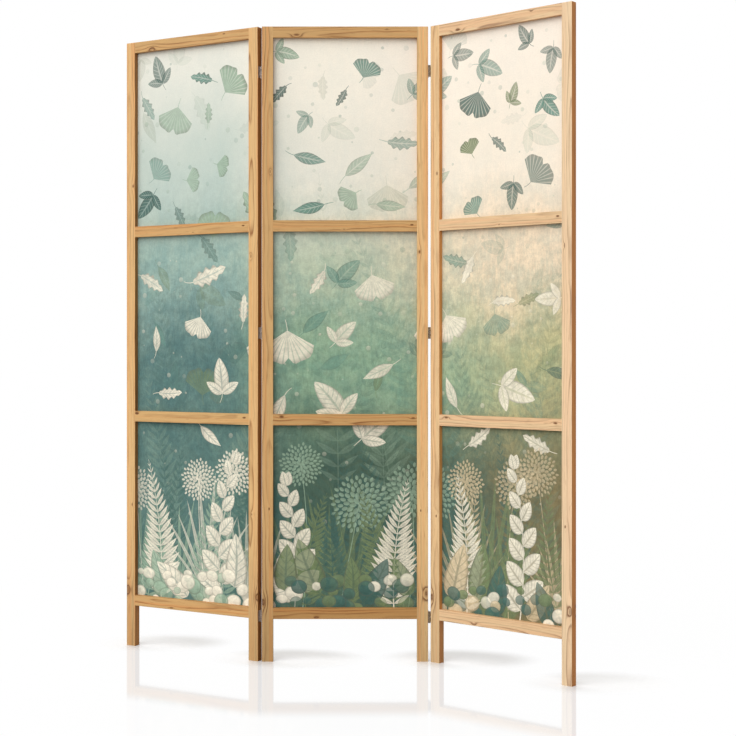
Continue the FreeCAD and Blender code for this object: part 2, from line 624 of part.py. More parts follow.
def add_hinges(line, pin_line, outer_turn, screw):
    """Three butt hinges up one joint, with the inner leaves and the pins on the centre panel."""
    count = round(number("Sizes.knuckle_count"))
    inner_knuckles = set(range(0, count, 2))
    outer_knuckles = {count - 1 - index for index in range(1, count, 2)}
    inner_screws = []
    outer_screws = []
    for level, height in HINGE_HEIGHTS.items():
        pin = pin_line * shift(up=height)
        outer = pin * outer_turn
        add_node(make_leaf(f"{line}_{level}_inner_leaf", inner_knuckles), pin)
        add_node(make_leaf(f"{line}_{level}_outer_leaf", outer_knuckles), outer)
        add_node(make_pin(f"{line}_{level}_pin"), pin)
        inner_screws += [pin * place for place in screw_places()]
        outer_screws += [outer * place for place in screw_places()]
    add_node(make_group(f"{line}_inner_screws", screw, inner_screws), FreeCAD.Placement())
    add_node(make_group(f"{line}_outer_screws", screw, outer_screws), FreeCAD.Placement())


patterns = {
    "side_bead": make_bead("side_bead", f"{REBATE_TOP} - {REBATE_BASE}",
                           [f"({up} - {REBATE_BASE})" for up in BRAD_HEIGHTS]),
    "cross_bead": make_bead("cross_bead", RAIL_LENGTH,
                            [f"({across} - Sizes.stile_width)" for across in BRAD_ACROSS]),
    "dowel": make_dowel("dowel"),
    "brad": make_brad("brad"),
    "screw": make_screw("screw"),
}
panel_places, hinge_lines = stand_panels()
add_panel("left_panel", panel_places["left_panel"], patterns, (None, "behind"))
add_panel("centre_panel", panel_places["centre_panel"], patterns, ("behind", "before"))
add_panel("right_panel", panel_places["right_panel"], patterns, ("before", None))
for line, (pin_line, outer_turn) in hinge_lines.items():
    add_hinges(line, pin_line, outer_turn, patterns["screw"])
doc.recompute()

# Nothing is written unless every object is sound and every cut has taken something away
for item in doc.Objects:
    if "Invalid" in item.State or "Error" in item.State:
        raise RuntimeError(f"{item.Label} did not build: {item.State}")
    if item.TypeId in ("PartDesign::Pocket", "PartDesign::Hole"):
        if item.Shape.Volume >= item.BaseFeature.Shape.Volume:
            raise RuntimeError(f"{item.Label} cuts nothing")
for node in nodes:
    if node.Shape.isNull() or not node.Shape.isValid() or not node.Shape.Solids:
        raise RuntimeError(f"{node.Label} has no sound solid")

os.makedirs("parts", exist_ok=True)
for node in nodes:
    node.Shape.exportStep(f"parts/{node.Label}.step")
box = FreeCAD.BoundBox()
for node in nodes:
    box.add(node.Shape.BoundBox)
print(f"{len(nodes)} nodes, box {box.XLength:.2f} x {box.YLength:.2f} x {box.ZLength:.2f} mm,"
      f" centre {box.Center.x:.3f}, {box.Center.y:.3f}, foot {box.ZMin:.3f}")
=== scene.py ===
import json
import math
import random

import bpy
from mathutils import Matrix, Vector
from mathutils.geometry import delaunay_2d_cdt


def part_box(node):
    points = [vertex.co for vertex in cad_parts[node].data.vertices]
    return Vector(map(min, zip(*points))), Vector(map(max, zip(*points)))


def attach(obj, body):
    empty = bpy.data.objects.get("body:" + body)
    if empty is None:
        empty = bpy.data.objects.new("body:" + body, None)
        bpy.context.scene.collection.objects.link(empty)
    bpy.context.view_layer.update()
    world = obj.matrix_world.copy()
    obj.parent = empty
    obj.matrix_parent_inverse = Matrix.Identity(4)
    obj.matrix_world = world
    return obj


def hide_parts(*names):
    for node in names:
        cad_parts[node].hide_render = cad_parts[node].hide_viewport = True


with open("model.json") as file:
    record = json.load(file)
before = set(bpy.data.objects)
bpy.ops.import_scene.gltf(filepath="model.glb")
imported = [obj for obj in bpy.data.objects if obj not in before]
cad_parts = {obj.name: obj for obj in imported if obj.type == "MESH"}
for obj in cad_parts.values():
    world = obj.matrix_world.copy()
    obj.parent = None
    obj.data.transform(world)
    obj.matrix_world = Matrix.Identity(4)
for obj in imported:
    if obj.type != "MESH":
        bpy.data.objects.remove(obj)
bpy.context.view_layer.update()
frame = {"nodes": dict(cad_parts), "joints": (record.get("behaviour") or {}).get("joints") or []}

bl_info = {
    "name": "Three-panel folding screen",
    "version": (1, 0, 0),
    "blender": (4, 5, 0),
    "location": "3D View > Sidebar > Folding Screen",
    "description": "Dresses a pine folding screen with grain, plated hinges and printed cloth",
    "category": "Object",
}

PANELS = ("left_panel", "centre_panel", "right_panel")
STILES = ("left_stile", "right_stile")
RAILS = ("bottom_rail", "lower_muntin", "upper_muntin", "top_rail")
BEADS = ("side_beads", "cross_beads")
HINGE_LINES = ("left_hinge", "right_hinge")
HINGE_LEVELS = ("top", "middle", "bottom")
HINGE_SIDES = ("inner", "outer")


# Where the panels stand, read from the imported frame

def panel_matrices():
    """Panel frames: across from the left edge, back from the front face, and up from the floor."""
    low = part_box("centre_panel_left_stile")[0]
    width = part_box("centre_panel_right_stile")[1].x - low.x
    matrices = {"centre_panel": Matrix.Translation((low.x, low.y, 0))}
    for joint in frame["joints"]:
        pin = Vector(joint["pos_m"])
        flat = Matrix.Translation((2 * pin.x - low.x - width, low.y, 0))
        turn = Matrix.Rotation(math.radians(joint["range_deg"][0]), 4, "Z")
        matrices[joint["child"]] = Matrix.Translation(pin) @ turn @ Matrix.Translation(-pin) @ flat
    return matrices, width


PANEL_MATRICES, PANEL_WIDTH = panel_matrices()
SHEET_LOW, SHEET_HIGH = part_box("centre_panel_printed_sheet")
STILE_LOW, STILE_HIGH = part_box("centre_panel_left_stile")
SHEET_WIDTH = SHEET_HIGH.x - SHEET_LOW.x
SHEET_HEIGHT = SHEET_HIGH.z - SHEET_LOW.z
SHEET_INSET = SHEET_LOW.x - STILE_LOW.x
SHEET_DEPTH = SHEET_LOW.y - STILE_LOW.y
SHEET_THICKNESS = SHEET_HIGH.y - SHEET_LOW.y
PRINT_WIDTH = len(PANELS) * SHEET_WIDTH
WINDOW_EDGES = [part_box(f"centre_panel_{rail}") for rail in RAILS]


def foot_places():
    """The middle of each foot on the floor, from left to right."""
    half = (STILE_HIGH - STILE_LOW) / 2
    places = []
    for panel in PANELS:
        for across in (half.x, PANEL_WIDTH - half.x):
            places.append(PANEL_MATRICES[panel] @ Vector((across, half.y, 0)))
    return places


# Sizes and colours that a user would change

def linear(red, green, blue):
    """A screen colour, 0 to 255, as the linear values that shaders use."""
    values = []
    for part in (red, green, blue):
        share = part / 255
        values.append(share / 12.92 if share <= 0.04045 else ((share + 0.055) / 1.055) ** 2.4)
    return tuple(values)


def colour(name, description, red, green, blue):
    return bpy.props.FloatVectorProperty(
        name=name, description=description, subtype="COLOR", size=3, min=0, max=1,
        default=linear(red, green, blue))


def setting(name, description, default, lowest, highest, **kind):
    return bpy.props.FloatProperty(
        name=name, description=description, default=default, min=lowest, max=highest, **kind)


def in_metres(name, description, default, lowest, highest):
    return setting(name, description, default, lowest, highest, unit="LENGTH")


def in_degrees(name, description, *degrees):
    """An angle from its default, lowest and highest value."""
    return setting(name, description, *map(math.radians, degrees), subtype="ANGLE", unit="ROTATION")


def as_share(name, description, default):
    return setting(name, description, default, 0, 1, subtype="FACTOR")


class PineSettings(bpy.types.PropertyGroup):
    earlywood: colour("Earlywood", "Pale wood of the wide part of a year ring", 217, 178, 123)
    latewood: colour("Latewood", "Darker line that ends a year ring", 136, 84, 40)
    blush: colour("Blush", "Redder bands along the grain", 221, 167, 109)
    knot: colour("Knot", "Heart of a knot", 104, 62, 30)
    ring_width: in_metres("Ring Width", "Growth in one year", 0.0052, 0.001, 0.02)
    waviness: in_metres("Waviness", "How far the rings wander along a board", 0.026, 0, 0.05)
    satin: as_share("Satin", "Roughness of the oiled surface", 0.5)


# Colours of the wash on each sheet, from its foot to its top
WASHES = {
    "left": ((88, 118, 111), (86, 118, 114), (146, 172, 162), (188, 201, 191), (226, 225, 213)),
    "centre": ((68, 91, 76), (132, 163, 137), (178, 192, 169), (231, 228, 214), (247, 240, 224)),
    "right": ((116, 108, 76), (172, 172, 130), (221, 205, 178), (238, 227, 209), (243, 232, 217)),
}
WASH_LEVELS = {
    "foot": "at the foot of",
    "low": "a third of the way up",
    "mid": "half way up",
    "high": "three quarters up",
    "top": "at the top of",
}
WASH_PLACES = [(side, level) for side in WASHES for level in WASH_LEVELS]


def wash_label(side, level):
    return f"{side} {level}".title()


def wash_settings():
    """A colour setting for every level of every sheet."""
    found = {}
    for side, tones in WASHES.items():
        for (level, where), tone in zip(WASH_LEVELS.items(), tones):
            description = f"Wash {where} the {side} sheet"
            found[f"{side}_{level}"] = colour(wash_label(side, level), description, *tone)
    return found


class PrintSettings(bpy.types.PropertyGroup):
    __annotations__ = wash_settings()
    deep_ink: colour("Deep Ink", "Darkest leaves", 62, 98, 90)
    teal_ink: colour("Teal Ink", "Drifting leaves on the pale wash", 96, 138, 124)
    sage_ink: colour("Sage Ink", "Softer leaves and ferns", 148, 172, 148)
    moss_ink: colour("Moss Ink", "Yellower leaves of the right sheet", 112, 128, 88)
    umber_ink: colour("Umber Ink", "Dry leaves and seed heads of the right sheet", 206, 186, 150)
    ivory_ink: colour("Ivory Ink", "Pale leaves and ferns on the dark wash", 232, 224, 203)
    cloth: colour("Cloth", "Unprinted cloth, seen from behind", 238, 232, 220)
    weave_pitch: in_metres("Weave Pitch", "Distance between threads", 0.0009, 0.0003, 0.005)
    slack: in_metres("Slack", "How far the cloth stands off flat inside a window", 0.0005, 0, 0.002)


class MetalSettings(bpy.types.PropertyGroup):
    # Painted light and shade: the left hinges get a pale copy of the nickel and the right hinges a dark
    # copy
    nickel: colour("Nickel", "Plating of the left hinges, and of pins and screws", 222, 212, 205)
    aged_nickel: colour("Aged Nickel", "Duller plating of the right hinges", 124, 110, 94)
    wire: colour("Wire", "Bright wire of the brads", 196, 196, 194)
    beech: colour("Beech", "Dowels", 214, 176, 138)
    beech_fleck: colour("Beech Fleck", "Short flecks in the dowels", 176, 128, 90)


class StageSettings(bpy.types.PropertyGroup):
    lens: setting("Lens", "Focal length on a 36 mm sensor", 71.95, 10, 300, unit="CAMERA")
    camera_place: bpy.props.FloatVectorProperty(
        name="Camera", description="Where the camera stands", size=3, default=(0.083, -3.9567, 0.8511),
        subtype="TRANSLATION", unit="LENGTH")
    camera_drop: setting("Camera Drop", "Upright shift of the view", -0.0281, -0.2, 0.2)
    sun_strength: setting("Key Strength", "Large soft light from the front left", 2.7, 0, 10)
    sun_spread: in_degrees("Light Spread", "Apparent size of the key and back lights", 70, 0, 180)
    sun_height: in_degrees("Key Height", "Key light above the horizon", 38, 0, 90)
    sun_side: in_degrees("Key Side", "Key light to the left of the camera", 38, -180, 180)
    back_strength: setting("Back Strength", "Soft light on the back of the screen", 1.9, 0, 10)
    back_height: in_degrees("Back Height", "Back light above the horizon", 32, 0, 90)
    back_side: in_degrees("Back Side", "Back light to the left, seen from behind", -14, -180, 180)
    fill: setting("Fill", "Even light from all round", 0.5, 0, 2)
    shadow_share: as_share("Shadow Share", "How much of the floor takes shadow beside the feet", 1.0)
    shine: as_share("Floor Shine", "How strongly the floor mirrors the legs", 0.24)


# Small helpers for node trees

def arithmetic(operation, swapped=False):
    """A method of Wire that adds a maths node."""
    def apply(wire, other):
        pair = (other, wire) if swapped else (wire, other)
        return wire.sketch.reckon(operation, *pair)

    return apply


class Wire:
    """One output of a node; sums and methods of wires add nodes to the tree."""

    __add__ = arithmetic("ADD")
    __sub__ = arithmetic("SUBTRACT")
    __mul__ = arithmetic("MULTIPLY")
    __truediv__ = arithmetic("DIVIDE")
    __rsub__ = arithmetic("SUBTRACT", swapped=True)
    __rtruediv__ = arithmetic("DIVIDE", swapped=True)

    def __init__(self, sketch, socket):
        self.sketch = sketch
        self.socket = socket

    def __abs__(self):
        return self.sketch.math("ABSOLUTE", self)

    def length(self):
        return self.sketch.put("ShaderNodeVectorMath", {0: self}, "Value", operation="LENGTH")

    def dot(self, vector):
        ends = {0: self, 1: vector}
        return self.sketch.put("ShaderNodeVectorMath", ends, "Value", operation="DOT_PRODUCT")

    def split(self):
        return self.sketch.put_all("ShaderNodeSeparateXYZ", {0: self}).values()

    def noise(self, scale=1.0, detail=2.0, roughness=0.5, stretch=None, output="Fac"):
        """Cloudy noise at a place; stretch is its own scale along each axis."""
        place = self * stretch if stretch else self
        return self.sketch.put("ShaderNodeTexNoise", {
            "Vector": place, "Scale": scale, "Detail": detail, "Roughness": roughness}, output)

    def step(self, low, high, to_low=0.0, to_high=1.0):
        """A smooth change from to_low to to_high while the value goes from low to high."""
        return self.sketch.put("ShaderNodeMapRange", {
            "Value": self, "From Min": low, "From Max": high, "To Min": to_low, "To Max": to_high},
            "Result", interpolation_type="SMOOTHSTEP")

    def ramp(self, stops):
        """The greys of (place, grey) stops."""
        node = self.sketch.add("ShaderNodeValToRGB", {"Fac": self})
        elements = node.color_ramp.elements
        while len(elements) < len(stops):
            elements.new(1)
        for element, (place, grey) in zip(elements, stops):
            element.position = place
            element.color = (grey, grey, grey, 1)
        return Wire(self.sketch, node.outputs["Color"])


class NodeSketch:
    """Adds nodes to one tree from left to right and links them as they are added."""

    COLUMN_WIDTH = 190

    def __init__(self, tree):
        self.tree = tree
        self.column = 0

    def add(self, kind, inputs=None, **settings):
        node = self.tree.nodes.new(kind)
        node.location = (self.column * self.COLUMN_WIDTH, 0)
        self.column += 1
        for key, value in settings.items():
            setattr(node, key, value)
        for key, value in (inputs or {}).items():
            self.plug(value, node.inputs[key])
        return node

    def plug(self, value, socket):
        if isinstance(value, Wire):
            self.tree.links.new(value.socket, socket)
        elif socket.type == "RGBA":
            socket.default_value = (*value[:3], 1)
        else:
            socket.default_value = value

    def put(self, kind, inputs=None, output=0, **settings):
        """Adds a node and gives the wire from one of its outputs."""
        return Wire(self, self.add(kind, inputs, **settings).outputs[output])

    def put_all(self, kind, inputs=None, **settings):
        """Adds a node and gives the wires from its outputs by name."""
        node = self.add(kind, inputs, **settings)
        return {output.name: Wire(self, output) for output in node.outputs}

    def reckon(self, operation, first, second):
        """Arithmetic on values, or on vectors if either is a vector or a colour."""
        kinds = [end.socket.type for end in (first, second) if isinstance(end, Wire)]
        node = "ShaderNodeMath" if set(kinds) <= {"VALUE", "INT"} else "ShaderNodeVectorMath"
        return self.put(node, {0: first, 1: second}, operation=operation)

    def math(self, operation, *values):
        return self.put("ShaderNodeMath", dict(enumerate(values)), operation=operation)

    def join(self, x, y, z):
        return self.put("ShaderNodeCombineXYZ", {0: x, 1: y, 2: z})

    def mix(self, factor, first, second, blend="MIX"):
        return self.put("ShaderNodeMix", {0: factor, 6: first, 7: second}, 2, data_type="RGBA",
                        blend_type=blend)

    def shade(self, tone, level, factor=1.0):
        """A colour times a grey level."""
        return self.mix(factor, tone, self.join(level, level, level), "MULTIPLY")

    def mix_shaders(self, factor, first, second):
        return self.put("ShaderNodeMixShader", {0: factor, 1: first, 2: second})

    def seen_straight(self):
        """1 where a surface is seen, also in a mirror or through glass, and 0 where it only lights."""
        path = self.put_all("ShaderNodeLightPath")
        seen = self.math("MAXIMUM", path["Is Camera Ray"], path["Is Glossy Ray"])
        return self.math("MAXIMUM", seen, path["Is Transmission Ray"])


def new_group(name, results, vectors=(), values=(), colours=()):
    """A shader node group with named sockets: its sketch, and the wires from its inputs."""
    tree = bpy.data.node_groups.new(name, "ShaderNodeTree")
    for labels, kind in ((vectors, "Vector"), (values, "Float"), (colours, "Color")):
        for label in labels:
            tree.interface.new_socket(name=label, in_out="INPUT", socket_type=f"NodeSocket{kind}")
    for label in results:
        kind = "Color" if label == "Color" else "Float"
        tree.interface.new_socket(name=label, in_out="OUTPUT", socket_type=f"NodeSocket{kind}")
    sketch = NodeSketch(tree)
    return sketch, sketch.put_all("NodeGroupInput")


def end_group(sketch, results):
    """Puts out the results of a group and gives its tree."""
    sketch.add("NodeGroupOutput", results)
    return sketch.tree


def place_group(sketch, tree, inputs):
    """A group in a material, with its own values."""
    return sketch.put_all("ShaderNodeGroup", inputs, node_tree=tree)


def new_material(name):
    """An empty node material and its sketch."""
    material = bpy.data.materials.new(name)
    material.use_nodes = True
    material.node_tree.nodes.clear()
    return material, NodeSketch(material.node_tree)


def add_surface(sketch, values, bump, strength, distance):
    """The shader and the output of a material, with a bump from a height."""
    normal = sketch.put("ShaderNodeBump", {"Strength": strength, "Distance": distance, "Height": bump})
    shader = sketch.put("ShaderNodeBsdfPrincipled", {**values, "Normal": normal})
    sketch.add("ShaderNodeOutputMaterial", {"Surface": shader})


def dress(node_name, material):
    """Gives every slot of a CAD node the material."""
    piece = frame["nodes"][node_name]
    if not piece.data.materials:
        piece.data.materials.append(material)
    for slot in piece.material_slots:
        slot.material = material


# Pine

BOARD_SEED = 31
CREAM = linear(240, 220, 194)
# How far a knot reaches across, into and along its board, as scales of distance
KNOT_STRETCH = (1, 0.12, 0.42)
# Darkness through one year ring, in clear wood and round a knot
RING_STOPS = ((0, 0.0), (0.5, 0.04), (0.74, 0.5), (0.86, 1.0), (0.97, 0.04))
SWIRL_STOPS = ((0, 0.0), (0.62, 0.0), (0.8, 1.0), (0.9, 1.0), (1, 0.0))
# Cosines between which a face turns to count as an end or an edge of its board
FACING = (0.6, 0.9)
# Heights between which a leg becomes a side of the window, where the painted edge shade changes
LEG_TOP = (0.1, 0.15)
# Painted shade on the edges of boards: its colour, what bleach takes from it, and how much of it rails get
EDGE_SHADE_TINT, EDGE_SHADE_BLEACH = (0.86, 0.64, 0.42), (0, 0.36, 0.5)
RAIL_EDGE_SHADE_SHARE = 0.35
# Where the heart of the tree may lie: share of the half width aside, and metres behind the face
PITH_ASIDE, PITH_BEHIND = (0.2, 1.0), (0.012, 0.028)
SEED_REACH = 50
# How far knots are drawn from their places along the board, and behind its face
KNOT_SHIFT, KNOT_BEHIND = 0.012, 0.01


def make_knot_group():
    """One knot, running back through the board: how far it bends the grain, and its dark heart."""
    sketch, given = new_group("pine_knot", ("Bend", "Heart"), vectors=("Vector", "Place"),
                              values=("Radius", "Depth", "Bend", "Heart"))
    flat = (given["Vector"] - given["Place"]) * KNOT_STRETCH
    ragged = given["Vector"].noise(detail=3, stretch=(160, 160, 90))
    distance = flat.length() / given["Radius"] + ragged * 0.5
    heart = distance.step(0.9, 1.5, 1.0, 0.0) * given["Depth"]
    lift = sketch.math("POWER", math.e, distance * -0.55) * (given["Radius"] * 3.2)
    return end_group(sketch, {
        "Bend": given["Bend"] + lift,
        "Heart": sketch.math("MAXIMUM", given["Heart"], heart),
    })


def make_pine_group():
    """Solid pine with its rings about a heart that lies off the board; the grain runs along Z."""
    sketch, given = new_group(
        "pine_grain", ("Color", "Roughness", "Height"), vectors=("Vector", "Seed", "Pith"),
        values=("Ring Width", "Waviness", "Bend", "Heart", "End", "Edge", "Foot", "Satin"),
        colours=("Earlywood", "Latewood", "Blush", "Knot", "Edge Tone"))
    seeded = given["Vector"] + given["Seed"]
    bend, heart, latewood = given["Bend"], given["Heart"], given["Latewood"]

    # Year rings
    wander = seeded.noise(stretch=(6, 6, 2.6), output="Color") - (0.5, 0.5, 0.5)
    wander = wander * sketch.join(given["Waviness"], given["Waviness"], 0.0)
    from_pith = (given["Vector"] - given["Pith"] + wander) * (1, 1, 0)
    shiver = seeded.noise(stretch=(90, 90, 5))
    count = (from_pith.length() + bend) / given["Ring Width"] + shiver * 0.5
    share = sketch.math("FRACT", count)
    year = sketch.math("FLOOR", count)
    year_tone = sketch.put("ShaderNodeTexWhiteNoise", {"W": year}, "Value", noise_dimensions="1D")
    line = sketch.math("MULTIPLY", share.ramp(RING_STOPS), year_tone.step(0, 1, 0.35, 1.0))
    broken = seeded.noise(stretch=(45, 45, 9))
    line = line * broken.step(0.36, 0.64, 0.4, 1.0)

    # Colour: bands, rings, fibres, flecks, knots, ends, painted shade on the edges and on the legs near the
    # floor
    fibre = seeded.noise(detail=3, roughness=0.6, stretch=(1100, 1100, 16))
    band = seeded.noise(stretch=(120, 120, 1.1))
    fleck = seeded.noise(detail=1, stretch=(520, 520, 30)).step(0.64, 0.74)
    wood = sketch.mix(band.step(0.42, 0.68), given["Earlywood"], given["Blush"])
    wood = sketch.mix(line, wood, latewood)
    wood = sketch.shade(wood, fibre.step(0.25, 0.75, 0.86, 1.08))
    wood = sketch.mix(fleck * 0.35, wood, latewood)
    wood = sketch.mix(bend.step(0.002, 0.012, 0.0, 0.5), wood, latewood)
    swirl = bend.step(0.0007, 0.005, 0.0, 0.8)
    swirl = sketch.math("MULTIPLY", share.ramp(SWIRL_STOPS), swirl)
    wood = sketch.mix(swirl, wood, given["Knot"])
    wood = sketch.mix(heart, wood, given["Knot"])
    wood = sketch.mix(given["End"] * 0.45, wood, latewood)
    # Painted shade: the sides of the board and the window reveals take a darker colour that stands in for
    # their shade
    wood = sketch.mix(given["Edge"], wood, sketch.mix(1.0, wood, given["Edge Tone"], "MULTIPLY"))
    # Painted shade: the legs darken towards the floor, standing in for the shade near the floor
    _, _, along = given["Vector"].split()
    floor_shade = along.step(0.0, 0.42, 0.74, 1.0)
    wood = sketch.shade(wood, sketch.put("ShaderNodeMix", {0: given["Foot"], 2: 1.0, 3: floor_shade}))

    rough = given["Satin"] - line * 0.1 + fibre.step(0.2, 0.8, -0.05, 0.06) - heart * 0.12
    height = fibre * 0.6 + line * 0.5 - heart * 0.5
    return end_group(sketch, {"Color": wood, "Roughness": rough, "Height": height})


def stained(wood, tone, bleach):
    """A wood colour a tone darker or paler, dark wood being redder, with a share bleached to cream."""
    toned = (wood[0] * tone, wood[1] * tone ** 1.4, wood[2] * tone ** 2)
    return tuple(part + (cream - part) * bleach for part, cream in zip(toned, CREAM))


# Knots of the uprights: share of the half width, height above the floor, radius and darkness
STILE_KNOTS = (
    ((0.3, 0.402, 0.0018, 0.95), (-0.62, 0.168, 0.0046, 0.4), (0.5, 1.322, 0.0022, 0.5)),
    ((-0.32, 0.409, 0.0018, 0.95), (0.66, 0.176, 0.0044, 0.4), (-0.5, 1.103, 0.0024, 0.5)),
)
# Knots of the cross pieces: share of the half width, place along the piece, radius and darkness
RAIL_KNOTS = {
    "bottom_rail": ((0.7, 0.121, 0.0026, 0.6),),
    "lower_muntin": ((-0.3, 0.377, 0.0026, 0.8), (-0.5, 0.014, 0.0028, 0.9)),
    "upper_muntin": ((-0.2, 0.376, 0.002, 0.95), (0.6, 0.2, 0.0016, 0.6)),
    "top_rail": ((0.5, 0.058, 0.0036, 0.7), (-0.5, 0.304, 0.002, 0.5)),
}
# Tone and bleach of each board: the two stiles, then the rails from the bottom up
BOARD_TONES = {
    "left_panel": ((1.0, 0), (1.0, 0), (0.85, 0), (0.89, 0), (0.86, 0), (0.85, 0)),
    "centre_panel": ((0.9, 0), (1.1, 0), (0.66, 0), (0.8, 0), (0.86, 0), (0.84, 0)),
    "right_panel": ((1.02, 0.16), (1.04, 0.45), (0.96, 0.3), (0.98, 0.31), (0.96, 0.3), (0.96, 0.32)),
}
BEAD_TONE = (1, 0)
# Painted shade on the edges of each board, beside the windows and on the legs
STILE_EDGE_SHADES = {
    "left_panel": ((0.54, 1.0), (0.72, 0.72)),
    "centre_panel": ((0.66, 0.66), (0.8, 0.8)),
    "right_panel": ((1.12, 1.0), (0.88, 0.88)),
}
# Painted shade on the edges of the rails and beads
CROSS_EDGE_SHADES = (0.9, 0.9)


class Sawmill:
    """Cuts one board after another from the same pine."""

    def __init__(self, settings):
        self.settings = settings
        self.grain = make_pine_group()
        self.knot = make_knot_group()
        self.draw = random.Random(BOARD_SEED)

    def cut(self, panel, piece, turn, knots, tone, bleach, edge_shades):
        """Draws the heart and knots of one board, in a frame with the grain on Z, and dresses it."""
        to_panel = PANEL_MATRICES["centre_panel"].inverted()
        low, high = (to_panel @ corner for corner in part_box(f"centre_panel_{piece}"))
        stands = high.z - low.z > high.x - low.x
        if stands:
            start = Vector(((low.x + high.x) / 2, low.y, 0))
            half = (high.x - low.x) / 2
        else:
            start = Vector((low.x, low.y, (low.z + high.z) / 2))
            half = (high.z - low.z) / 2
        draw, settings = self.draw, self.settings
        pith = (draw.choice((-1, 1)) * draw.uniform(*PITH_ASIDE) * half, draw.uniform(*PITH_BEHIND), 0)
        seed = [draw.uniform(0, SEED_REACH) for _ in range(3)]

        material, sketch = new_material(f"pine_{panel}_{piece}")
        place = sketch.put_all("ShaderNodeTexCoord")
        turn = turn.to_matrix()
        board = sketch.put("ShaderNodeMapping", {
            "Vector": place["Object"], "Location": PANEL_MATRICES[panel] @ start,
            "Rotation": turn.to_euler()}, vector_type="TEXTURE")
        along, across = (abs(place["Normal"].dot(turn @ Vector(axis)))
                         for axis in ((0, 0, 1), (1, 0, 0)))
        bend, heart = 0.0, 0.0
        for aside, up, radius, depth in knots:
            up += draw.uniform(-KNOT_SHIFT, KNOT_SHIFT)
            spot = (aside * half, draw.uniform(0, KNOT_BEHIND), up)
            bend, heart = place_group(sketch, self.knot, {
                "Vector": board, "Place": spot, "Radius": radius, "Depth": depth, "Bend": bend,
                "Heart": heart}).values()
        wood = place_group(sketch, self.grain, {
            "Vector": board, "Seed": seed, "Pith": pith, "Ring Width": settings.ring_width,
            "Waviness": settings.waviness, "Bend": bend, "Heart": heart,
            "End": along.step(*FACING),
            "Edge": across.step(*FACING, 0.0, 1.0 if stands else RAIL_EDGE_SHADE_SHARE),
            "Edge Tone": self.shade_edges(sketch, board, bleach, *edge_shades),
            "Foot": 1 - 2 * bleach if stands else 0.0,
            "Earlywood": stained(settings.earlywood, tone, bleach),
            "Latewood": stained(settings.latewood, tone, bleach / 2),
            "Blush": stained(settings.blush, tone, bleach),
            "Knot": settings.knot, "Satin": settings.satin})
        add_surface(sketch, {
            "Base Color": wood["Color"], "Roughness": wood["Roughness"], "Specular IOR Level": 0.2,
            "Coat Weight": 0.03, "Coat Roughness": 0.35}, wood["Height"], strength=0.25, distance=0.0004)
        dress(f"{panel}_{piece}", material)

    def shade_edges(self, sketch, board, bleach, in_window, on_leg):
        """The painted shade that darkens the edges of a board, which may differ on its leg."""
        _, _, up = board.split()
        tint = [tone - part * bleach for tone, part in zip(EDGE_SHADE_TINT, EDGE_SHADE_BLEACH)]
        return sketch.shade(tint, up.step(*LEG_TOP, on_leg, in_window))


class FOLDINGSCREEN_OT_timbers(bpy.types.Operator):
    """Give every stile, rail, muntin and bead its own piece of pine"""

    bl_idname = "folding_screen.timbers"
    bl_label = "Finish Timbers"

    def execute(self, context):
        mill = Sawmill(context.scene.folding_screen_pine)
        for panel in PANELS:
            upright = PANEL_MATRICES[panel].to_quaternion()
            level = upright @ Matrix.Rotation(math.pi / 2, 3, "Y").to_quaternion()
            tones = BOARD_TONES[panel]
            for piece, knots, tone, edge_shades in zip(STILES, STILE_KNOTS, tones, STILE_EDGE_SHADES[panel]):
                mill.cut(panel, piece, upright, knots, *tone, edge_shades)
            for piece, tone in zip(RAILS, tones[len(STILES):]):
                mill.cut(panel, piece, level, RAIL_KNOTS[piece], *tone, CROSS_EDGE_SHADES)
            for piece, turn in zip(BEADS, (upright, level)):
                mill.cut(panel, piece, turn, (), *BEAD_TONE, CROSS_EDGE_SHADES)
        return {"FINISHED"}


# Motifs of the print

PRINT_SEED = 108
# Styles of motif, as the shader reads them, and how far off it still takes one for the same
PLAIN, VEINED, FANNED, ROUNDED = 0.0, 1.0, 2.0, 3.0
STYLE_ROOM = 0.3
# Half the angle that a fan-shaped leaf opens, in radians
FAN_SPREAD = 1.02
GOLDEN_ANGLE = math.pi * (3 - math.sqrt(5))
# Thickness of stems at the root and at the tip
FERN_STEM, SPRIG_STEM = (0.0032, 0.0008), (0.0036, 0.001)
HEAD_STEM, LEAF_STALK = (0.003, 0.0018), (0.0018, 0.0011)
THINNEST_LEAF = 1e-4
# Share of the height under which the wash is dark, and of the width past which it is warm
DARK_BELOW, WARM_PAST = 0.62, 0.7
TRIES_PER_PLACE = 60


class Motif:
    """One inked shape: its outline, its ink, how much it covers, and where a point lies on it."""

    def __init__(self, outline, ink, cover, style, locate, inner=()):
        self.outline = outline
        self.inner = inner
        self.ink = ink
        self.cover = cover
        self.style = style
        self.locate = locate
        self.left = min(x for x, _ in outline)
        self.right = max(x for x, _ in outline)

    def holds(self, x, z):
        """Whether a point lies inside the outline."""
        inside = False
        last_x, last_z = self.outline[-1]
        for next_x, next_z in self.outline:
            if (next_z > z) != (last_z > z):
                if x < next_x + (z - next_z) / (last_z - next_z) * (last_x - next_x):
                    inside = not inside
            last_x, last_z = next_x, next_z
        return inside


def placer(root, heading):
    """Functions from a shape's own frame, with X along the heading, to the print and back."""
    c, s = math.cos(heading), math.sin(heading)

    def out(x, y):
        return root[0] + x * c - y * s, root[1] + x * s + y * c

    def back(x, z):
        dx, dz = x - root[0], z - root[1]
        return dx * c + dz * s, dz * c - dx * s

    return out, back


# Half widths of leaves, 0 to 1, from the root at 0 to the tip at 1

def willow(u):
    return math.sin(math.pi * u ** 0.85) ** 1.05


def oval(u):
    return math.sin(math.pi * u ** 0.8) ** 0.7


def lobed(u):
    return oval(u) * (0.8 + 0.2 * math.cos(2 * math.pi * 4.5 * u))


def heart_shaped(u):
    return 1.75 * u ** 0.42 * (1 - u) ** 0.85


def blade(u):
    return math.sin(math.pi * (0.16 + 0.84 * u)) ** 0.8


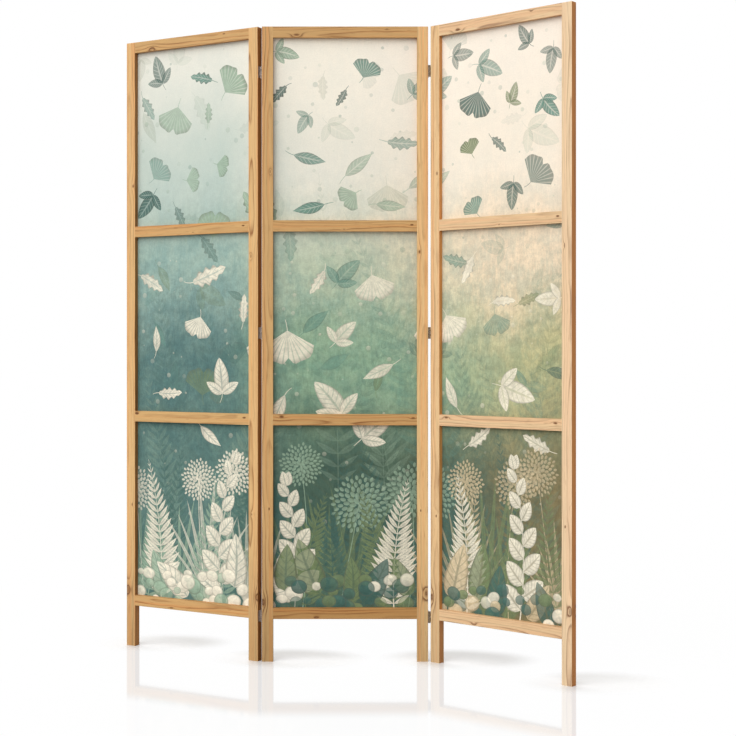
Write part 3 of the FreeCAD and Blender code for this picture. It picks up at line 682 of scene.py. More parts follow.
def leaf(root, heading, length, width, bend, profile, ink, cover, steps=9):
    """A leaf from its root along the heading; bend is how far its tip leaves the heading."""
    out, back = placer(root, heading)

    def half(u):
        return max(width / 2 * profile(min(max(u, 0.0), 1.0)), THINNEST_LEAF)

    upper, lower, rib = [], [], []
    for index in range(steps + 1):
        u = index / steps
        middle = bend * length * u * u
        upper.append(out(u * length, middle + half(u)))
        lower.append(out(u * length, middle - half(u)))
        rib.append(out(u * length, middle))

    def locate(x, z):
        along, across = back(x, z)
        u = along / length
        return u, (across - bend * length * u * u) / max(half(u), width * 0.02)

    return Motif(lower + upper[::-1], ink, cover, VEINED, locate, rib[1:-1])


def shape(root, heading, wide, high, points, ink, cover, style):
    """A shape from points in its own frame, on which places are measured by its width and height."""
    out, back = placer(root, heading)

    def locate(x, z):
        along, across = back(x, z)
        return along / wide, across / high

    return Motif([out(x, y) for x, y in points], ink, cover, style, locate)


def fan(root, heading, length, ink, cover, steps=30):
    """A fan-shaped leaf with a notch in its rim."""
    points = [(0, 0)]
    for index in range(steps + 1):
        angle = FAN_SPREAD * (2 * index / steps - 1)
        notch = 1 - 0.24 * math.exp(-(angle / 0.12) ** 2)
        reach = length * notch * (1 + 0.035 * math.cos(9 * angle)) * (1 - 0.1 * (angle / FAN_SPREAD) ** 2)
        points.append((reach * math.cos(angle), reach * math.sin(angle)))
    return shape(root, heading, length, length, points, ink, cover, FANNED)


def ellipse(centre, wide, high, tilt, ink, cover, steps=20):
    """A drop, seed or pebble about its centre, with its half width and half height."""
    angles = [2 * math.pi * index / steps for index in range(steps)]
    points = [(wide * math.cos(angle), high * math.sin(angle)) for angle in angles]
    return shape(centre, tilt, wide, high, points, ink, cover, ROUNDED)


def spine(root, heading, length, curl, steps):
    """Points and headings along a stem that curls as it grows."""
    points = [(root[0], root[1], heading)]
    x, z = root
    for index in range(1, steps + 1):
        here = heading + curl * index / steps
        x += length / steps * math.cos(here)
        z += length / steps * math.sin(here)
        points.append((x, z, here))
    return points


def stem(points, thick, thin, ink, cover):
    """A tapering stem along a spine."""
    upper, lower = [], []
    last = len(points) - 1
    for index, (x, z, here) in enumerate(points):
        half = (thick + (thin - thick) * index / last) / 2
        upper.append((x - half * math.sin(here), z + half * math.cos(here)))
        lower.append((x + half * math.sin(here), z - half * math.cos(here)))
    return Motif(lower + upper[::-1], ink, cover, PLAIN, lambda x, z: (0.5, 0.5))


def fern(root, heading, length, curl, pairs, reach, ink, cover):
    """A frond: a curling stem with pairs of narrow leaflets that shorten to the tip."""
    points = spine(root, heading, length, curl, pairs + 1)
    motifs = [stem(points, *FERN_STEM, ink, cover)]
    for index in range(1, pairs + 1):
        share = index / (pairs + 1)
        x, z, here = points[index]
        long = reach * (1 - share) ** 0.75 * min(1, 0.45 + 2.2 * share)
        open_angle = math.radians(72 - 30 * share)
        for side in (-1, 1):
            motifs.append(leaf((x, z), here + side * open_angle, long, long * 0.26, -0.16 * side, willow,
                               ink, cover, steps=5))
    return motifs


def sprig(root, heading, length, curl, pairs, reach, ink, cover):
    """A twig with round leaves set by turns on either side."""
    points = spine(root, heading, length, curl, 2 * pairs)
    motifs = [stem(points, *SPRIG_STEM, ink, cover)]
    for index in range(1, 2 * pairs + 1):
        share = index / (2 * pairs)
        x, z, here = points[index]
        side = 1 if index % 2 else -1
        long = reach * (1 - 0.55 * share)
        motifs.append(leaf((x, z), here + side * math.radians(58 - 26 * share), long, long * 0.68,
                           -0.1 * side, oval, ink, cover))
    x, z, here = points[-1]
    motifs.append(leaf((x, z), here, reach * 0.45, reach * 0.3, 0, oval, ink, cover))
    return motifs


def tuft(root, count, height, spread, ink, cover, draw):
    """A tuft of grass from one root."""
    motifs = []
    for index in range(count):
        lean = spread * (2 * index / (count - 1) - 1)
        tall = height * (1 - 0.35 * abs(lean / spread)) * draw.uniform(0.85, 1.1)
        motifs.append(leaf(root, math.pi / 2 - lean, tall, tall * 0.045, -0.32 * lean, blade, ink, cover))
    return motifs


def seed_head(root, heading, length, curl, radius, count, ink, cover):
    """A stem that carries a round head of small flowers."""
    points = spine(root, heading, length, curl, 10)
    motifs = [stem(points, *HEAD_STEM, ink, cover)]
    x, z, _ = points[-1]
    for index in range(count):
        far = math.sqrt((index + 0.5) / count)
        angle = GOLDEN_ANGLE * index
        spot = (x + radius * far * math.cos(angle), z + radius * far * math.sin(angle))
        size = radius * (0.115 - 0.045 * far)
        motifs.append(ellipse(spot, size * 1.25, size * 0.8, angle, ink, cover, steps=7))
    return motifs


def drifting_leaf(draw, spot, size, ink, cover):
    """One fallen leaf of a drawn kind, with its stalk."""
    heading = draw.uniform(0, 2 * math.pi)
    kind = draw.randrange(4)
    start = (spot[0] - size / 2 * math.cos(heading), spot[1] - size / 2 * math.sin(heading))
    stalk = spine(start, heading + math.pi, size * 0.28, draw.uniform(-0.6, 0.6), 4)
    motifs = [stem(stalk, *LEAF_STALK, ink, cover)]
    bend = draw.uniform(-0.18, 0.18)
    if kind == 0:
        motifs.append(fan(start, heading, size * 0.86, ink, cover))
    elif kind == 1:
        motifs.append(leaf(start, heading, size, size * 0.46, bend, lobed, ink, cover, steps=36))
    elif kind == 2:
        motifs.append(leaf(start, heading, size, size * 0.5, bend, oval, ink, cover, steps=16))
        for turn in (-1.05, 1.05):
            motifs.append(leaf(start, heading + turn, size * 0.62, size * 0.3, -bend, oval, ink, cover,
                               steps=14))
    else:
        motifs.append(leaf(start, heading, size, size * 0.36, bend, willow, ink, cover, steps=16))
    return motifs


def scatter(draw, count, margin, low, high, apart):
    """Places spread over a band of the print, none nearer to another than apart."""
    places = []
    for _ in range(count * TRIES_PER_PLACE):
        spot = (draw.uniform(margin, PRINT_WIDTH - margin), draw.uniform(low, high))
        if all(math.dist(spot, other) > apart for other in places):
            places.append(spot)
            if len(places) == count:
                break
    return places


def draw_print(settings):
    """Every motif of the print that runs over the three sheets, from back to front, in metres."""
    draw = random.Random(PRINT_SEED)
    between = draw.uniform
    deep, teal, sage, moss, umber, ivory = (
        tuple(getattr(settings, f"{name}_ink"))
        for name in ("deep", "teal", "sage", "moss", "umber", "ivory"))
    motifs = []

    def row(count, start, end, low=0.0, high=0.0):
        """Roots along the foot, one in each of count equal stretches, drawn as they are asked for."""
        for index in range(count):
            x = PRINT_WIDTH * (index + between(start, end)) / count
            yield x, between(low, high) if high > low else low

    def ferns(spots, heading, length, curl, pairs, reach, ink_at, cover):
        for spot in spots:
            motifs.extend(fern(
                spot, between(*heading), between(*length), between(-curl, curl), pairs, between(*reach),
                ink_at(spot[0]), between(*cover)))

    def drift(spots, size, ink_at, cover):
        for spot in spots:
            motifs.extend(drifting_leaf(draw, spot, between(*size), ink_at(spot[0]), between(*cover)))

    def any_of(*inks):
        return lambda x: draw.choice(inks)

    def growth(x, *first):
        """An ink for a plant at x: cool on the left, dark in the middle and dry on the right."""
        if x < SHEET_WIDTH:
            return draw.choice((*first, ivory, sage))
        if x < 2 * SHEET_WIDTH:
            return draw.choice((deep, moss, deep))
        return draw.choice((moss, umber, deep))

    # Faint growth behind everything
    ferns(scatter(draw, 15, margin=0.03, low=-0.05, high=0.36, apart=0.08), heading=(1.3, 1.85),
          length=(0.6, 0.9), curl=0.5, pairs=24, reach=(0.09, 0.13), ink_at=any_of(deep, teal, sage),
          cover=(0.14, 0.26))
    drift(scatter(draw, 30, margin=0.0, low=0.56, high=SHEET_HEIGHT, apart=0.11), size=(0.06, 0.11),
          ink_at=any_of(sage, teal, moss), cover=(0.1, 0.24))

    # Drops and seeds in the air
    for spot in scatter(draw, 330, margin=0.0, low=0.1, high=SHEET_HEIGHT, apart=0.02):
        ink = ivory if spot[1] < DARK_BELOW * SHEET_HEIGHT else draw.choice((sage, teal))
        size = between(0.0018, 0.0075)
        motifs.append(ellipse(spot, size, size, 0, ink, between(0.1, 0.34), steps=14))

    # Dark leaves on the pale wash
    for spot in scatter(draw, 38, margin=0.03, low=1.05, high=SHEET_HEIGHT - 0.04, apart=0.098):
        is_warm = spot[0] / PRINT_WIDTH >= WARM_PAST
        ink = draw.choice((teal, moss, deep) if is_warm else (teal, deep, sage))
        motifs += drifting_leaf(draw, spot, between(0.048, 0.096), ink, between(0.6, 0.95))

    # Shaded and pale leaves on the middle of the wash
    drift(scatter(draw, 18, margin=0.02, low=0.62, high=1.04, apart=0.12), size=(0.055, 0.095),
          ink_at=any_of(deep, teal, moss), cover=(0.35, 0.65))
    drift(scatter(draw, 24, margin=0.05, low=0.46, high=0.96, apart=0.135), size=(0.066, 0.118),
          ink_at=lambda x: ivory, cover=(0.82, 0.96))

    # The planted foot, from back to front
    ferns(row(18, 0.2, 0.8, -0.04, 0.03), heading=(1.25, 1.9), length=(0.38, 0.54), curl=0.6, pairs=20,
          reach=(0.075, 0.11), ink_at=lambda x: deep, cover=(0.5, 0.75))
    for spot in row(12, 0.1, 0.9, -0.02, 0.02):
        motifs += tuft(spot, draw.randrange(9, 14), between(0.26, 0.4), 0.55, growth(spot[0]),
                       between(0.4, 0.65), draw)
    for spot, ink in zip(row(9, 0.15, 0.85), [ivory] * 3 + [sage] * 3 + [umber] * 3):
        motifs += seed_head(spot, between(1.35, 1.8), between(0.24, 0.42), between(-0.3, 0.3),
                            between(0.05, 0.08), 90, ink, between(0.5, 0.8))
    ferns(row(9, 0.1, 0.9, -0.02, 0.02), heading=(1.2, 1.95), length=(0.28, 0.4), curl=0.7, pairs=18,
          reach=(0.065, 0.1), ink_at=lambda x: growth(x, sage), cover=(0.6, 0.85))
    for x, heading, tall, curl in ((0.3, 1.75, 0.4, -0.5), (0.47, 1.45, 0.34, 0.35), (1.07, 1.4, 0.4, 0.4)):
        motifs += sprig((x, 0.0), heading, tall, curl, 6, 0.088, ivory, 0.92)
    for x, heading, tall, curl in ((0.09, 1.5, 0.4, 0.35), (0.74, 1.62, 0.36, -0.3), (0.9, 1.5, 0.38, 0.3)):
        motifs += fern((x, 0.0), heading, tall, curl, 20, 0.095, ivory, 0.9)
    for spot in row(15, 0.1, 0.9, 0.0, 0.06):
        long = between(0.11, 0.16)
        motifs.append(leaf(spot, between(0.7, 2.45), long, long * 0.62, between(-0.15, 0.15),
                           heart_shaped, growth(spot[0], ivory), between(0.75, 0.92), steps=16))
    for spot in scatter(draw, 80, margin=0.0, low=0.0, high=0.085, apart=0.022):
        size = between(0.011, 0.026)
        ink = ivory if draw.random() < 0.25 else growth(spot[0], sage)
        motifs.append(ellipse(spot, size, size * between(0.72, 0.95), between(-0.4, 0.4), ink,
                              between(0.6, 0.9)))
    return motifs


# Cutting the sheets

# Distance between the plain corners of a sheet
GRID_STEP = 0.018
# The cutter works in millimetres, and joins points that are nearer than MERGE_DISTANCE
MILLIMETRES = 1000
MERGE_DISTANCE = 0.01


def turned_left(outline):
    """The outline, counter-clockwise."""
    area = 0
    for (x, z), (next_x, next_z) in zip(outline, outline[1:] + outline[:1]):
        area += x * next_z - next_x * z
    return outline if area > 0 else outline[::-1]


def cut_sheet(motifs, left):
    """Triangles of one sheet, cut along its motifs: corners in the sheet's frame, and motifs over each."""
    right = left + SHEET_WIDTH
    shown = [motif for motif in motifs if motif.right > left and motif.left < right]
    wide, high = SHEET_WIDTH * MILLIMETRES, SHEET_HEIGHT * MILLIMETRES
    points = [(0, 0), (wide, 0), (wide, high), (0, high)]
    faces = [[0, 1, 2, 3]]

    def mark(places):
        points.extend(((x - left) * MILLIMETRES, z * MILLIMETRES) for x, z in places)

    for motif in shown:
        first = len(points)
        mark(turned_left(motif.outline))
        faces.append(list(range(first, len(points))))
    for motif in shown:
        mark(motif.inner)
    columns = round(SHEET_WIDTH / GRID_STEP)
    rows = round(SHEET_HEIGHT / GRID_STEP)
    for column in range(1, columns):
        for row in range(1, rows):
            points.append((wide * column / columns, high * row / rows))
    corners, _, triangles, _, _, covers = delaunay_2d_cdt(
        [Vector(point) for point in points], [], faces, 1, MERGE_DISTANCE, True)
    kept = []
    for triangle, over in zip(triangles, covers):
        if 0 in over:
            x = left + sum(corners[corner].x for corner in triangle) / 3 / MILLIMETRES
            z = sum(corners[corner].y for corner in triangle) / 3 / MILLIMETRES
            layers = [shown[index - 1] for index in sorted(over) if index > 0]
            kept.append((triangle, [motif for motif in layers if motif.holds(x, z)]))
    used = sorted({corner for triangle, _ in kept for corner in triangle})
    renumber = {corner: index for index, corner in enumerate(used)}
    flat = [(corners[corner].x / MILLIMETRES, corners[corner].y / MILLIMETRES) for corner in used]
    return flat, [([renumber[corner] for corner in triangle], layers) for triangle, layers in kept]


def lay_inks(layers):
    """Ink and cover where motifs lie over one another, from back to front."""
    red = green = blue = cover = 0.0
    for motif in layers:
        under = cover * (1 - motif.cover)
        total = motif.cover + under
        red = (motif.ink[0] * motif.cover + red * under) / total
        green = (motif.ink[1] * motif.cover + green * under) / total
        blue = (motif.ink[2] * motif.cover + blue * under) / total
        cover = total
    return red, green, blue, cover


def slack_at(x, z, amount, phase):
    """How far the cloth stands back from flat; nothing where the frame holds it."""
    up = z + SHEET_LOW.z
    side = max(0.0, math.sin(math.pi * x / SHEET_WIDTH))
    window = 0.0
    for lower, upper in zip(WINDOW_EDGES, WINDOW_EDGES[1:]):
        low, high = lower[1].z, upper[0].z
        if low < up < high:
            window = math.sin(math.pi * (up - low) / (high - low))
    ripple = 0.6 + 0.4 * math.sin(9 * x + 5.3 * z + phase) * math.cos(6.1 * z - 4 * x)
    return amount * side * window * ripple


# Printed cloth

# Shares of the height over which the wash goes from one colour to the next
WASH_RISES = {"low": (0.22, 0.42), "mid": (0.42, 0.62), "high": (0.6, 0.78), "top": (0.76, 0.98)}
# Where along the print the wash of one sheet becomes that of the next
LEFT_TO_CENTRE = (0.7 * SHEET_WIDTH, 1.3 * SHEET_WIDTH)
CENTRE_TO_RIGHT = (1.75 * SHEET_WIDTH, 2.8 * SHEET_WIDTH)
# Shares of the height over which the second change moves to the left, and how far
SLANT_RISE, SLANT = (0.4, 0.66), 0.4 * SHEET_WIDTH
# Shares of the height over which brush marks and grit fade towards the pale top
MARKS_FADE = (0.48, 0.82)
COOL_PATCH, WARM_PATCH = (0.84, 0.9, 0.93), (1.16, 1.1, 1.07)
RIM_INK = (0.1, 0.095, 0.07)
# Side veins on half a leaf and how far they slant, and rays on half a fan
SIDE_VEINS, VEIN_SLANT = 7, 1.4
FAN_RAYS = 5.5
# Share of the print that shows on the back of the cloth
SHOW_THROUGH = 0.72
SLACK_PHASE = 1.7
SMOOTH_ANGLE = math.radians(40)


def lay_wash(sketch, given, x, height):
    """The smooth wash: five colours up each sheet, and a soft change from sheet to sheet."""
    sides = []
    for side in WASHES:
        tone = given[wash_label(side, "foot")]
        for level, rise in WASH_RISES.items():
            tone = sketch.mix(height.step(*rise), tone, given[wash_label(side, level)])
        sides.append(tone)
    left, centre, right = sides
    wash = sketch.mix(x.step(*LEFT_TO_CENTRE), left, centre)
    slant = height.step(*SLANT_RISE, 0.0, SLANT)
    return sketch.mix((x + slant).step(*CENTRE_TO_RIGHT), wash, right)


def brush_wash(sketch, where, height, wash):
    """The wash with its patches and brush marks."""
    brush = where.noise(detail=4, roughness=0.62, stretch=(80, 17, 1))
    patch = where.noise(scale=13, detail=5, roughness=0.62) + (brush - 0.5) * 0.5
    tint = sketch.mix(patch.step(0.36, 0.64), COOL_PATCH, WARM_PATCH)
    grain = where.noise(scale=46, detail=7, roughness=0.74)
    bristle = where.noise(detail=3, roughness=0.6, stretch=(250, 60, 1))
    mottle = grain.step(0.34, 0.66, 0.86, 1.13) * bristle.step(0.34, 0.66, 0.93, 1.06)
    painted = sketch.shade(sketch.mix(1.0, wash, tint, "MULTIPLY"), mottle)
    return sketch.mix(height.step(*MARKS_FADE, 1.0, 0.1), wash, painted)


def mark_ink(sketch, given, wet, wash):
    """The ink of a motif with its veins, its uneven wetness and its darker rim."""
    u, v, style = given["Blade"].split()
    edge = abs(v)
    is_veined, is_fanned, is_round = (
        sketch.math("COMPARE", style, kind, STYLE_ROOM) for kind in (VEINED, FANNED, ROUNDED))
    rib = edge.step(0.05, 0.16, 1.0, 0.0)
    side_vein = sketch.math("PINGPONG", sketch.math("FRACT", u * SIDE_VEINS - edge * VEIN_SLANT), 0.5)
    veins = sketch.math("MAXIMUM", rib, side_vein.step(0.05, 0.14, 0.75, 0.0))
    turn = sketch.math("ARCTAN2", v, u) / FAN_SPREAD
    rays = sketch.math("PINGPONG", turn * FAN_RAYS, 0.5).step(0.06, 0.2, 0.9, 0.0)
    lines = sketch.math("MAXIMUM", veins * is_veined, rays * is_fanned)

    pool = wet.step(0.25, 0.75, 0.84, 1.12) + v.step(-0.9, 0.9, -0.16, 0.14) * is_round
    pool = pool + u.step(0.0, 1.0, -0.1, 0.08) * is_veined
    pool = pool + edge.step(0.7, 1.0, 0.0, -0.12) * is_veined
    ink = sketch.mix(lines * 0.5, sketch.shade(given["Ink"], pool), wash)
    reach = sketch.join(u, v, 0.0).length()
    rim = sketch.math("MAXIMUM", edge * is_veined, reach * (is_fanned + is_round)) + (wet - 0.5) * 0.2
    return sketch.mix(rim.step(0.78, 0.98, 0.0, 0.42), ink, RIM_INK)


def make_print_group():
    """The print: a wash from dark foot to pale top, with the inks over it."""
    washes = [wash_label(*place) for place in WASH_PLACES]
    sketch, given = new_group("botanical_print", ("Color",), vectors=("Vector", "Blade"),
                              values=("Cover",), colours=("Ink", *washes))
    where = given["Vector"]
    x, z, _ = where.split()
    cloud = where.noise(scale=2.3, detail=3)
    bloom = where.noise(scale=9, detail=4, roughness=0.6)
    height = z / SHEET_HEIGHT + (cloud - 0.5) * 0.16 + (bloom - 0.5) * 0.06
    wash = brush_wash(sketch, where, height, lay_wash(sketch, given, x, height))
    wet = where.noise(scale=70, detail=4, roughness=0.6)
    cover = given["Cover"] * wet.step(0.1, 0.5, 0.86, 1.0)
    printed = sketch.mix(cover, wash, mark_ink(sketch, given, wet, wash))
    grit = where.noise(scale=260, detail=4, roughness=0.72)
    gritty = height.step(*MARKS_FADE, 1.0, 0.45)
    printed = sketch.shade(printed, grit.step(0.25, 0.75, 0.91, 1.085), gritty)
    return end_group(sketch, {"Color": printed})


def make_weave_group():
    """Plain weave: warp over weft, with uneven threads."""
    sketch, given = new_group("plain_weave", ("Height", "Shade"), vectors=("Vector",), values=("Pitch",))
    x, z, _ = given["Vector"].split()
    turns = math.pi / given["Pitch"]
    uneven = given["Vector"].noise(scale=140) * 2.2
    warp, weft = (abs(sketch.math("SINE", place * turns + uneven)) for place in (x, z))
    thread = warp * weft
    return end_group(sketch, {"Height": thread, "Shade": thread.step(0.0, 1.0, 0.97, 1.02)})


def make_cloth(name, settings, printing, weave, show):
    """Cloth on which a share of the print shows."""
    material, sketch = new_material(name)
    where = sketch.put("ShaderNodeUVMap", uv_map="print")
    ink = sketch.put_all("ShaderNodeAttribute", attribute_name="ink")
    blade_place = sketch.put("ShaderNodeAttribute", output="Vector", attribute_name="blade")
    inputs = {"Vector": where, "Ink": ink["Color"], "Cover": ink["Alpha"], "Blade": blade_place}
    for side, level in WASH_PLACES:
        inputs[wash_label(side, level)] = getattr(settings, f"{side}_{level}")
    printed = place_group(sketch, printing, inputs)
    threads = place_group(sketch, weave, {"Vector": where, "Pitch": settings.weave_pitch})
    tone = sketch.shade(printed["Color"], threads["Shade"])
    if show < 1:
        tone = sketch.mix(show, settings.cloth, tone)
    rough = threads["Height"].step(0.0, 1.0, 0.86, 0.74)
    add_surface(sketch, {
        "Base Color": tone, "Roughness": rough, "Sheen Weight": 0.08, "Specular IOR Level": 0.3},
        threads["Height"], strength=0.18, distance=0.0002)
    return material


class FOLDINGSCREEN_OT_printed_sheets(bpy.types.Operator):
    """Print three sheets of cloth with one design and stretch them in the panels"""

    bl_idname = "folding_screen.printed_sheets"
    bl_label = "Stretch Printed Sheets"

    def execute(self, context):
        settings = context.scene.folding_screen_print
        printing, weave = make_print_group(), make_weave_group()
        faces = (make_cloth("printed_cloth_front", settings, printing, weave, 1.0),
                 make_cloth("printed_cloth_back", settings, printing, weave, SHOW_THROUGH))
        motifs = draw_print(settings)
        for index, panel in enumerate(PANELS):
            self.stretch(panel, index, motifs, settings.slack, faces)
        return {"FINISHED"}

    def stretch(self, panel, index, motifs, slack, faces):
        """Cuts one sheet, inks it, gives it its thickness and sets it in its panel."""
        left = index * SHEET_WIDTH
        flat, triangles = cut_sheet(motifs, left)
        mesh = bpy.data.meshes.new(f"{panel}_print")
        corners = []
        for x, z in flat:
            depth = SHEET_DEPTH + slack_at(x, z, slack, SLACK_PHASE * index)
            corners.append(PANEL_MATRICES[panel] @ Vector((x + SHEET_INSET, depth, z + SHEET_LOW.z)))
        mesh.from_pydata(corners, [], [triangle for triangle, _ in triangles])
        inks, places, unrolled = [], [], []
        for triangle, layers in triangles:
            ink = lay_inks(layers)
            for corner in triangle:
                x, z = flat[corner]
                u, v, style = 0.5, 0.5, PLAIN
                if layers:
                    u, v = layers[-1].locate(x + left, z)
                    style = layers[-1].style
                inks.extend(ink)
                places.extend((u, v, style))
                unrolled.extend((x + left, z))
        mesh.attributes.new("ink", "FLOAT_COLOR", "CORNER").data.foreach_set("color", inks)
        mesh.attributes.new("blade", "FLOAT_VECTOR", "CORNER").data.foreach_set("vector", places)
        mesh.uv_layers.new(name="print").data.foreach_set("uv", unrolled)
        for material in faces:
            mesh.materials.append(material)
        sheet = bpy.data.objects.new(f"{panel}_print", mesh)
        bpy.context.scene.collection.objects.link(sheet)
        bpy.ops.object.select_all(action="DESELECT")
        sheet.select_set(True)
        bpy.context.view_layer.objects.active = sheet
        thicken = sheet.modifiers.new("cloth_thickness", "SOLIDIFY")
        thicken.thickness = SHEET_THICKNESS
        thicken.offset = -1
        thicken.material_offset = 1
        thicken.material_offset_rim = 1
        bpy.ops.object.modifier_apply(modifier=thicken.name)
        bpy.ops.object.shade_smooth_by_angle(angle=SMOOTH_ANGLE)
        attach(sheet, panel)
        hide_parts(f"{panel}_printed_sheet")


# Metal and dowels

def make_rolled_metal_group():
    """Plating over rolled metal: fine lines one way, with dull patches."""
    sketch, given = new_group("plated_metal", ("Color", "Roughness", "Height"), vectors=("Vector",),
                              values=("Polish",), colours=("Tone",))
    lines = given["Vector"].noise(stretch=(900, 900, 14000))
    patches = given["Vector"].noise(scale=260, detail=4, roughness=0.6)
    dull = patches.step(0.35, 0.75)
    tone = sketch.shade(given["Tone"], dull.step(0, 1, 1.0, 0.5))
    rough = given["Polish"] + dull * 0.16 + lines.step(0.3, 0.7, -0.05, 0.06)
    return end_group(sketch, {"Color": tone, "Roughness": rough, "Height": lines})


def make_metal(name, plating, tone, polish):
    material, sketch = new_material(name)
    where = sketch.put("ShaderNodeTexCoord", output="Object")
    face = place_group(sketch, plating, {"Vector": where, "Tone": tone, "Polish": polish})
    add_surface(sketch, {"Base Color": face["Color"], "Roughness": face["Roughness"], "Metallic": 1.0},
                face["Height"], strength=0.08, distance=0.0001)
    return material


class FOLDINGSCREEN_OT_hardware(bpy.types.Operator):
    """Plate the hinges, pins and screws, and brighten the brads"""

    bl_idname = "folding_screen.hardware"
    bl_label = "Finish Hardware"

    def execute(self, context):
        settings = context.scene.folding_screen_metal
        plating = make_rolled_metal_group()
        # Painted light and shade: a pale and a dark copy of one nickel, for the left and right hinges
        leaf_metals = (make_metal("nickel_plate", plating, settings.nickel, polish=0.28),
                       make_metal("aged_nickel_plate", plating, settings.aged_nickel, polish=0.34))
        pin_steel = make_metal("pin_steel", plating, settings.nickel, polish=0.34)
        wire = make_metal("bright_wire", plating, settings.wire, polish=0.36)
        for line, leaf_metal in zip(HINGE_LINES, leaf_metals):
            for level in HINGE_LEVELS:
                for side in HINGE_SIDES:
                    dress(f"{line}_{level}_{side}_leaf", leaf_metal)
                dress(f"{line}_{level}_pin", pin_steel)
            for side in HINGE_SIDES:
                dress(f"{line}_{side}_screws", pin_steel)
        for panel in PANELS:
            dress(f"{panel}_bead_brads", wire)
        return {"FINISHED"}


class FOLDINGSCREEN_OT_dowels(bpy.types.Operator):
    """Give the hidden dowels their beech"""

    bl_idname = "folding_screen.dowels"
    bl_label = "Finish Dowels"

    def execute(self, context):
        settings = context.scene.folding_screen_metal
        material, sketch = new_material("beech")
        where = sketch.put("ShaderNodeTexCoord", output="Object")
        fleck = where.noise(detail=3, roughness=0.6, stretch=(60, 700, 700))
        tone = sketch.mix(fleck.step(0.5, 0.7), settings.beech, settings.beech_fleck)
        rough = fleck.step(0.2, 0.8, 0.62, 0.72)
        add_surface(sketch, {"Base Color": tone, "Roughness": rough}, fleck, strength=0.2, distance=0.0005)
        for panel in PANELS:
            dress(f"{panel}_dowels", material)
        return {"FINISHED"}


# Floor, light and camera

FLOOR_SIZE = 80
FLOOR_ROUGHNESS = 0.06
WHITE, MATTE, DIM = (1, 1, 1), (0.74, 0.74, 0.74), (0.3, 0.3, 0.3)
WARM_WHITE = (1, 0.985, 0.965)
# Where the shadow of a foot lies, its scale across and back, and where it begins and ends to fade
SHADOW_SHIFT = Vector((0.08, 0.03, 0))
SHADOW_SCALE = (6, 9, 0)
SHADOW_FADE = (0.55, 1.3)
FAR_SHADOW = 0.02
# Distances from the line of the feet between which the shine fades, and the share left beyond
SHINE_FADE = (0.52, 0.63)
FAR_SHINE = 0.08
LAMP_PLACE = (0, 0, 4)
SENSOR_WIDTH = 36
VIEW_END = 200


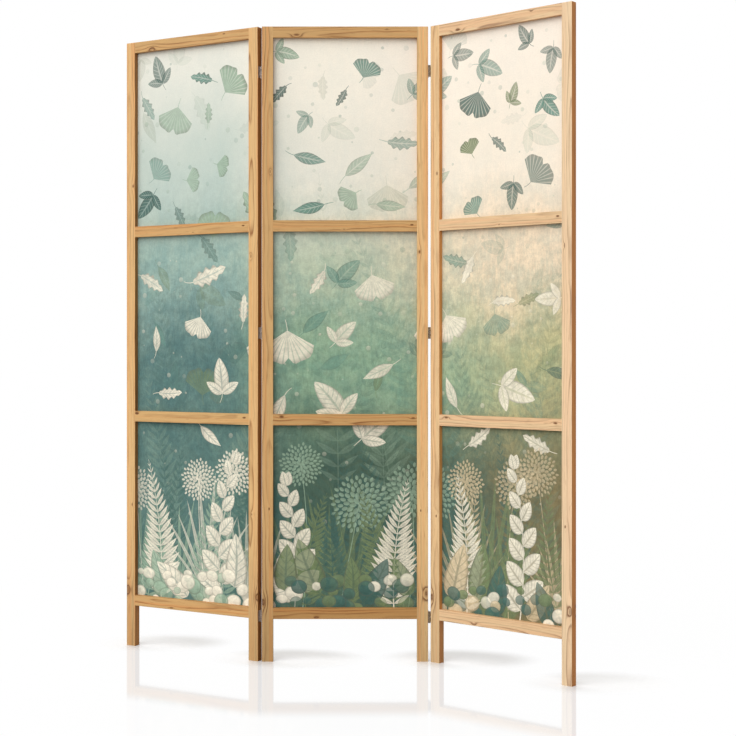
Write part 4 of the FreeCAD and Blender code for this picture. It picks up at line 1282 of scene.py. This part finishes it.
class FOLDINGSCREEN_OT_stage(bpy.types.Operator):
    """Set the white floor, the soft light and the camera"""

    bl_idname = "folding_screen.stage"
    bl_label = "Set Stage"

    def execute(self, context):
        settings = context.scene.folding_screen_stage
        context.scene.view_settings.view_transform = "Standard"
        self.lay_floor(settings)
        self.light_room(context, settings)
        self.stand_camera(context, settings)
        return {"FINISHED"}

    def lay_floor(self, settings):
        """A white floor that takes shadow and shine only near the feet, and lights the room dimly."""
        bpy.ops.object.select_all(action="DESELECT")
        bpy.ops.mesh.primitive_plane_add(size=FLOOR_SIZE, location=(0, 0, 0))
        floor = bpy.context.active_object
        floor.name = "floor"
        material, sketch = new_material("white_floor")
        where = sketch.put("ShaderNodeTexCoord", output="Object")
        feet = foot_places()
        nearest = float(FLOOR_SIZE)
        for foot in feet:
            away = ((where - (foot + SHADOW_SHIFT)) * SHADOW_SCALE).length()
            nearest = sketch.math("MINIMUM", away, nearest)
        takes_shadow = nearest.step(*SHADOW_FADE, settings.shadow_share, FAR_SHADOW)
        white = sketch.put("ShaderNodeEmission", {"Color": WHITE, "Strength": 1.0})
        matte = sketch.put("ShaderNodeBsdfDiffuse", {"Color": MATTE})
        polish = sketch.put("ShaderNodeBsdfGlossy", {"Color": WHITE, "Roughness": FLOOR_ROUGHNESS})
        dim = sketch.put("ShaderNodeBsdfDiffuse", {"Color": DIM})
        seen = sketch.mix_shaders(takes_shadow, white, matte)
        seen = sketch.mix_shaders(self.shine_near(sketch, where, feet, settings.shine), seen, polish)
        both = sketch.mix_shaders(sketch.seen_straight(), dim, seen)
        sketch.add("ShaderNodeOutputMaterial", {"Surface": both})
        floor.data.materials.append(material)

    def shine_near(self, sketch, where, feet, strength):
        """The floor's shine: full at the line of the feet, fading before and behind it."""
        outer_left, _, left, right, _, outer_right = feet
        x, y, _ = where.split()
        turn_back = (outer_left.y - left.y) / (left.x - outer_left.x)
        turn_out = (outer_right.y - right.y) / (outer_right.x - right.x)
        past_left = sketch.math("MAXIMUM", left.x - x, 0.0)
        past_right = sketch.math("MAXIMUM", x - right.x, 0.0)
        line = past_left * turn_back + past_right * turn_out + left.y
        return abs(line - y).step(*SHINE_FADE, strength, FAR_SHINE * strength)

    def light_room(self, context, settings):
        """A white room that lights evenly, a soft key light, and a back light kept out of reflections."""
        world = bpy.data.worlds.new("studio")
        world.use_nodes = True
        world.node_tree.nodes.clear()
        sketch = NodeSketch(world.node_tree)
        fill = sketch.put("ShaderNodeBackground", {"Color": WARM_WHITE, "Strength": settings.fill})
        white = sketch.put("ShaderNodeBackground", {"Color": WHITE, "Strength": 1.0})
        both = sketch.mix_shaders(sketch.seen_straight(), fill, white)
        sketch.add("ShaderNodeOutputWorld", {"Surface": both})
        context.scene.world = world

        from_behind = math.pi - settings.back_side
        lamps = (
            ("key", settings.sun_strength, settings.sun_height, -settings.sun_side, True),
            ("back_fill", settings.back_strength, settings.back_height, from_behind, False),
        )
        for name, strength, height, turn, is_mirrored in lamps:
            rotation = (math.pi / 2 - height, 0, turn)
            bpy.ops.object.light_add(type="SUN", location=LAMP_PLACE, rotation=rotation)
            lamp = context.active_object
            lamp.name = name
            lamp.data.energy = strength
            lamp.data.angle = settings.sun_spread
            lamp.visible_glossy = is_mirrored

    def stand_camera(self, context, settings):
        bpy.ops.object.camera_add(location=settings.camera_place, rotation=(math.pi / 2, 0, 0))
        camera = context.active_object
        camera.name = "camera"
        camera.data.sensor_width = SENSOR_WIDTH
        camera.data.lens = settings.lens
        camera.data.shift_y = settings.camera_drop
        camera.data.clip_end = VIEW_END
        context.scene.camera = camera


# The add-on

STEPS = (
    ("folding_screen.timbers", "folding_screen_pine"),
    ("folding_screen.printed_sheets", "folding_screen_print"),
    ("folding_screen.hardware", "folding_screen_metal"),
    ("folding_screen.dowels", "folding_screen_metal"),
    ("folding_screen.stage", "folding_screen_stage"),
)


class FOLDINGSCREEN_PT_sidebar(bpy.types.Panel):
    bl_idname = "FOLDINGSCREEN_PT_sidebar"
    bl_label = "Folding Screen"
    bl_space_type = "VIEW_3D"
    bl_region_type = "UI"
    bl_category = "Folding Screen"

    def draw(self, context):
        for operator, group in STEPS:
            box = self.layout.box()
            box.operator(operator)
            values = getattr(context.scene, group)
            for name in values.__annotations__:
                box.prop(values, name)


GROUPS = {
    "folding_screen_pine": PineSettings,
    "folding_screen_print": PrintSettings,
    "folding_screen_metal": MetalSettings,
    "folding_screen_stage": StageSettings,
}
CLASSES = (
    *GROUPS.values(),
    FOLDINGSCREEN_OT_timbers,
    FOLDINGSCREEN_OT_printed_sheets,
    FOLDINGSCREEN_OT_hardware,
    FOLDINGSCREEN_OT_dowels,
    FOLDINGSCREEN_OT_stage,
    FOLDINGSCREEN_PT_sidebar,
)


def register():
    for item in CLASSES:
        bpy.utils.register_class(item)
    for name, group in GROUPS.items():
        setattr(bpy.types.Scene, name, bpy.props.PointerProperty(type=group))


def unregister():
    for name in GROUPS:
        delattr(bpy.types.Scene, name)
    for item in reversed(CLASSES):
        bpy.utils.unregister_class(item)


def main():
    register()
    bpy.ops.folding_screen.timbers()
    bpy.ops.folding_screen.printed_sheets()
    bpy.ops.folding_screen.hardware()
    bpy.ops.folding_screen.dowels()
    bpy.ops.folding_screen.stage()


if __name__ == "__main__":
    main()
